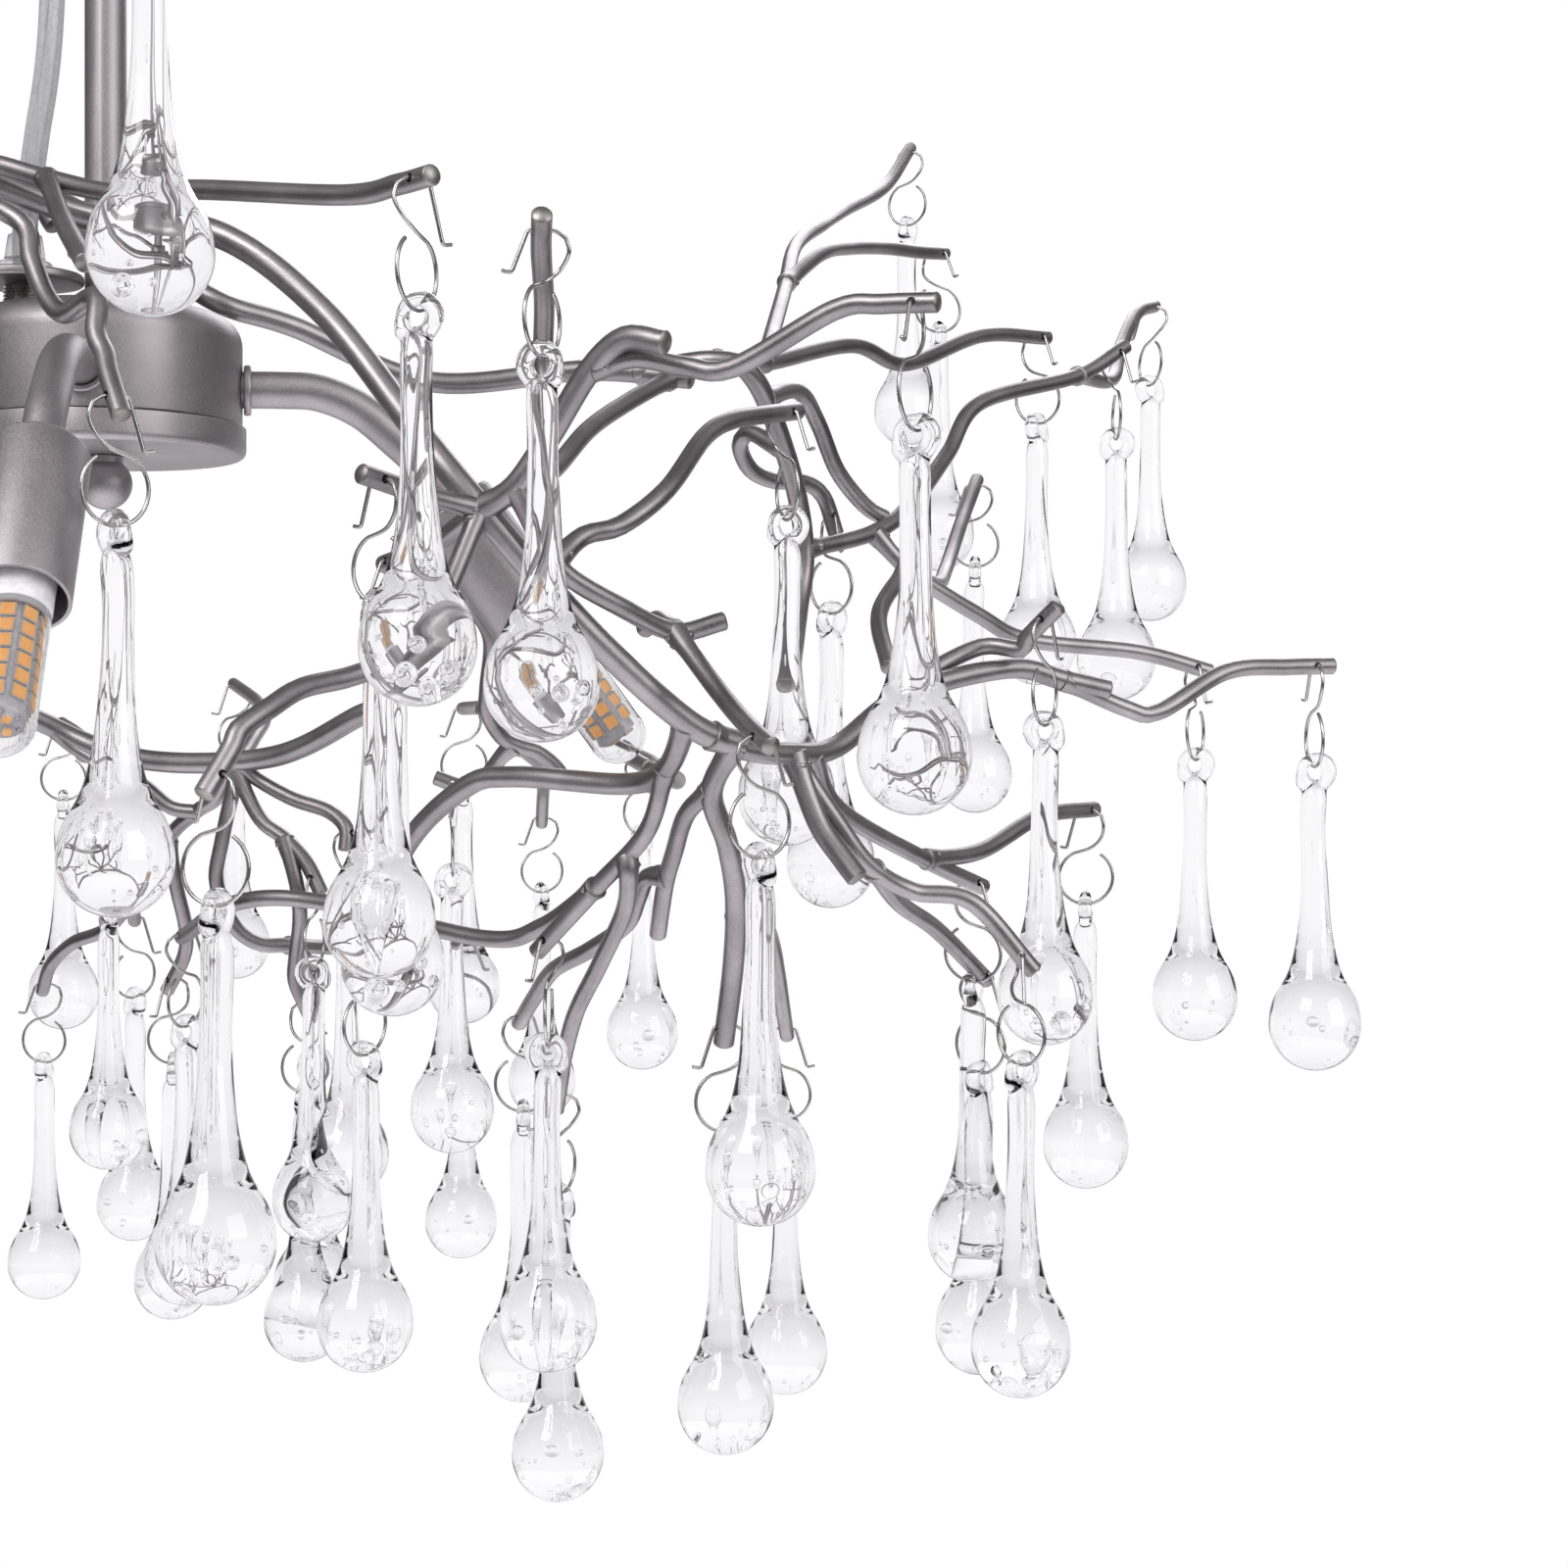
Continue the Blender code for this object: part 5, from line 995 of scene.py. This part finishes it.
def drop_surface():
    """A drop of solid glass: a ball, a long neck that flares into it, and a pulled eye on top."""
    ball = arc(0.0, 0.0, BALL_RADIUS, 9, -90, 26)
    flare = [Vector((r, 0.0, z)) for r, z in (
        (3.75, 66.0), (3.66, 58.0), (3.7, 50.0), (3.95, 41.0), (4.4, 34.0), (5.0, 28.0), (5.7, 23.5), (6.6, 19.5),
        (7.5, 16.5), (8.6, 13.9), (9.7, 11.9), (10.7, 10.3), (11.6, 8.7), (12.4, 6.9), (12.9, 5.2), (13.25, 3.5))]
    flare = smooth_route(flare, 1.6)
    neck = [(0.0, 71.2), (2.4, 71.0), (3.3, 70.0), (3.7, 68.2), *[(p.x, p.z) for p in flare]]
    body = lathe([*neck, *ball[:-1], (0.0, -BALL_RADIUS)], 40)
    bm = bmesh.new()
    count, sides, rings = 40, 16, []
    for i in range(count):
        angle = 2 * math.pi * i / count
        pulled = 0.55 * max(0.0, -math.cos(angle)) + 0.35 * max(0.0, -math.sin(angle))
        blob = 0.7 * math.exp(-((angle - EYE_BLOB) / 0.42) ** 2)
        thick = EYE_MINOR + pulled + blob
        ring = []
        for j in range(sides):
            turn = 2 * math.pi * j / sides
            reach = EYE_MAJOR - EYE_MINOR + thick + thick * math.cos(turn)
            ring.append(bm.verts.new(Vector((thick * math.sin(turn), reach * math.cos(angle),
                                             EYE_ABOVE_BALL + reach * math.sin(angle))) * MM))
        rings.append(ring)
    for i in range(count):
        for j in range(sides):
            k, following = (j + 1) % sides, rings[(i + 1) % count]
            bm.faces.new((rings[i][j], rings[i][k], following[k], following[j]))
    bmesh.ops.recalc_face_normals(bm, faces=bm.faces)
    eye_mesh = bpy.data.meshes.new("eye")
    bm.to_mesh(eye_mesh)
    bm.free()
    body = put("drop_body", Shape().add(body).mesh("drop_body"))
    mesh = joined(body, put("drop_eye", eye_mesh), "UNION")
    bm = bmesh.new()
    bm.from_mesh(mesh)
    upper = [v for v in bm.verts if v.co.z > SEAM_LOW * MM]
    for _ in range(5):
        seam = [v for v in upper if v.co.z < SEAM_HIGH * MM]
        bmesh.ops.smooth_vert(bm, verts=seam, factor=0.4, use_axis_x=True, use_axis_y=True, use_axis_z=True)
    bm.verts.index_update()
    surface = ([v.co.copy() for v in bm.verts], [tuple(v.index for v in f.verts) for f in bm.faces])
    bm.free()
    return surface


def hand_made(surface, seed):
    """The same drop with its neck a little bent and uneven, and its ball not quite round."""
    points, faces = surface
    shift = Vector((seed * 3.7, seed * 1.3, 0.0))
    lean = noise.noise_vector(shift) * 0.5 * MM
    result = []
    for p in points:
        height = p.z / MM
        share = min(1.0, max(0.0, (height - 8.0) / 30.0)) * min(1.0, max(0.0, (72.0 - height) / 12.0))
        wave = noise.noise(Vector((p.x * 220.0, p.y * 220.0, height * 0.055)) + shift) * 0.24 * share
        bend = noise.noise_vector(Vector((0.0, 0.0, height * 0.028)) + shift) * 0.85 * MM * share
        ripple = noise.noise(p * 95.0 + shift) * 0.10
        outward = Vector((p.x, p.y, 0.0))
        outward = outward.normalized() if outward.length > 1e-6 else Vector((0.0, 0.0, 0.0))
        push = (wave + ripple * (0.4 if height > 10.0 else 1.0)) * MM
        result.append(p + outward * push + Vector((bend.x, bend.y, 0.0)) + lean * share)
    return result, faces


def bubbles(seed):
    """Small round hollows in the ball, their faces turned inwards, and a few long ones in the neck."""
    draw = random.Random(400 + seed)
    shape = Shape()
    for _ in range(draw.choice((3, 5, 7, 9, 12))):
        big = draw.random() < 0.16
        size = draw.uniform(1.1, 1.7) if big else draw.uniform(0.28, 0.72)
        angle, reach = draw.uniform(0, 2 * math.pi), 8.6 * math.sqrt(draw.random())
        height = draw.uniform(-5.0, 1.0) if big else draw.uniform(-9.2, 2.0)
        spot = polar(reach, angle, height)
        if spot.length > 11.2:
            spot *= 10.8 / spot.length
        points, faces = lathe(arc(0.0, 0.0, size, 90, -90, 8), 12)
        shape.add((points, [face[::-1] for face in faces]), matrix=Matrix.Translation(spot * MM))
    for _ in range(draw.choice((1, 2, 3))):
        size = draw.uniform(0.16, 0.3)
        angle, reach, height = draw.uniform(0, 2 * math.pi), draw.uniform(0.6, 1.7), draw.uniform(22.0, 60.0)
        points, faces = lathe(arc(0.0, 0.0, size, 90, -90, 6), 8)
        spot = polar(reach, angle, height)
        stretch = Matrix.Translation(spot * MM) @ Matrix.Diagonal((1.0, 1.0, draw.uniform(4.0, 14.0), 1.0))
        shape.add((points, [face[::-1] for face in faces]), matrix=stretch)
    return shape.points, shape.faces


def hang(hooks, drops, hole, turn, bend, seed, wobble, surface):
    """Add a pendant under a hole to a shape of hooks and a shape of drops."""
    where = DOWN @ Matrix.Translation(hole * MM) @ Matrix.Rotation(turn, 4, "Z")
    hooks.add(tube(hook_route(*bend, wobble), WIRE_RADIUS, 10, 0.12, 0.05), matrix=where)
    eye_drop = RING_CENTRE - RING_RADIUS + WIRE_RADIUS + 1.2 * GAP - (EYE_MAJOR - EYE_MINOR) - EYE_ABOVE_BALL
    turned_over = math.radians(bend[2]) + math.pi * (seed % 2)
    below = where @ Matrix.Translation((0.0, 0.0, eye_drop * MM)) @ Matrix.Rotation(turned_over, 4, "Z")
    drops.add(hand_made(surface, seed), matrix=below)
    drops.add(bubbles(seed), matrix=below)


def make_pendants(laid):
    """Every pendant. Ten of them swing, and the others hang still, in one piece for each bough."""
    surface = drop_surface()
    groups = {}
    for seed, name in enumerate(n for n in laid if n not in PLAIN_ENDS):
        hole, turn = tip_frame(laid, name)
        wobble = RANDOM.uniform(-0.03, 0.03)
        if name in NUMBERS:
            hooks, drops = Shape(), Shape()
            hang(hooks, drops, hole, turn, HOOK_BENDS[NUMBERS[name]], seed, wobble * 0.4, surface)
            own = f"{NUMBERS[name]:02d}"
            show(f"hook_wire_{own}", hooks, [STEEL, STEEL], f"hook_{own}", [f"hook_{own}"])
            show(f"drop_glass_{own}", drops, [GLASS], f"drop_{own}", [f"glass_drop_{own}"], 60.0)
        else:
            hooks, drops = groups.setdefault(laid[name][0].removeprefix("bough_"), (Shape(), Shape()))
            bend = (RANDOM.choice((1, -1)), RANDOM.uniform(9.5, 13.5), RANDOM.uniform(-45.0, 45.0))
            hang(hooks, drops, hole, turn, STILL_BENDS.get(name, bend), seed, wobble, surface)
    for group, (hooks, drops) in groups.items():
        show(f"hooks_{group}", hooks, [STEEL, STEEL])
        show(f"drops_{group}", drops, [GLASS], sharp=60.0)


make_stage()
make_ceiling_fitting()
make_hub()
make_gland_and_cable()
make_lamps()
LAID = lay_rods({**RODS, **left_rods()})
make_boughs(LAID)
make_pendants(LAID)
KEPT_NODES = {"ceiling_bracket": PEWTER_TURNED, "rod_cross_pin": STEEL, "terminal_block": CERAMIC,
              **{f"lamp_socket_{side}": CERAMIC for side in LAMP_AZIMUTHS}}
for kept, finish in KEPT_NODES.items():
    for slot in frame["nodes"][kept].material_slots:
        slot.material = finish
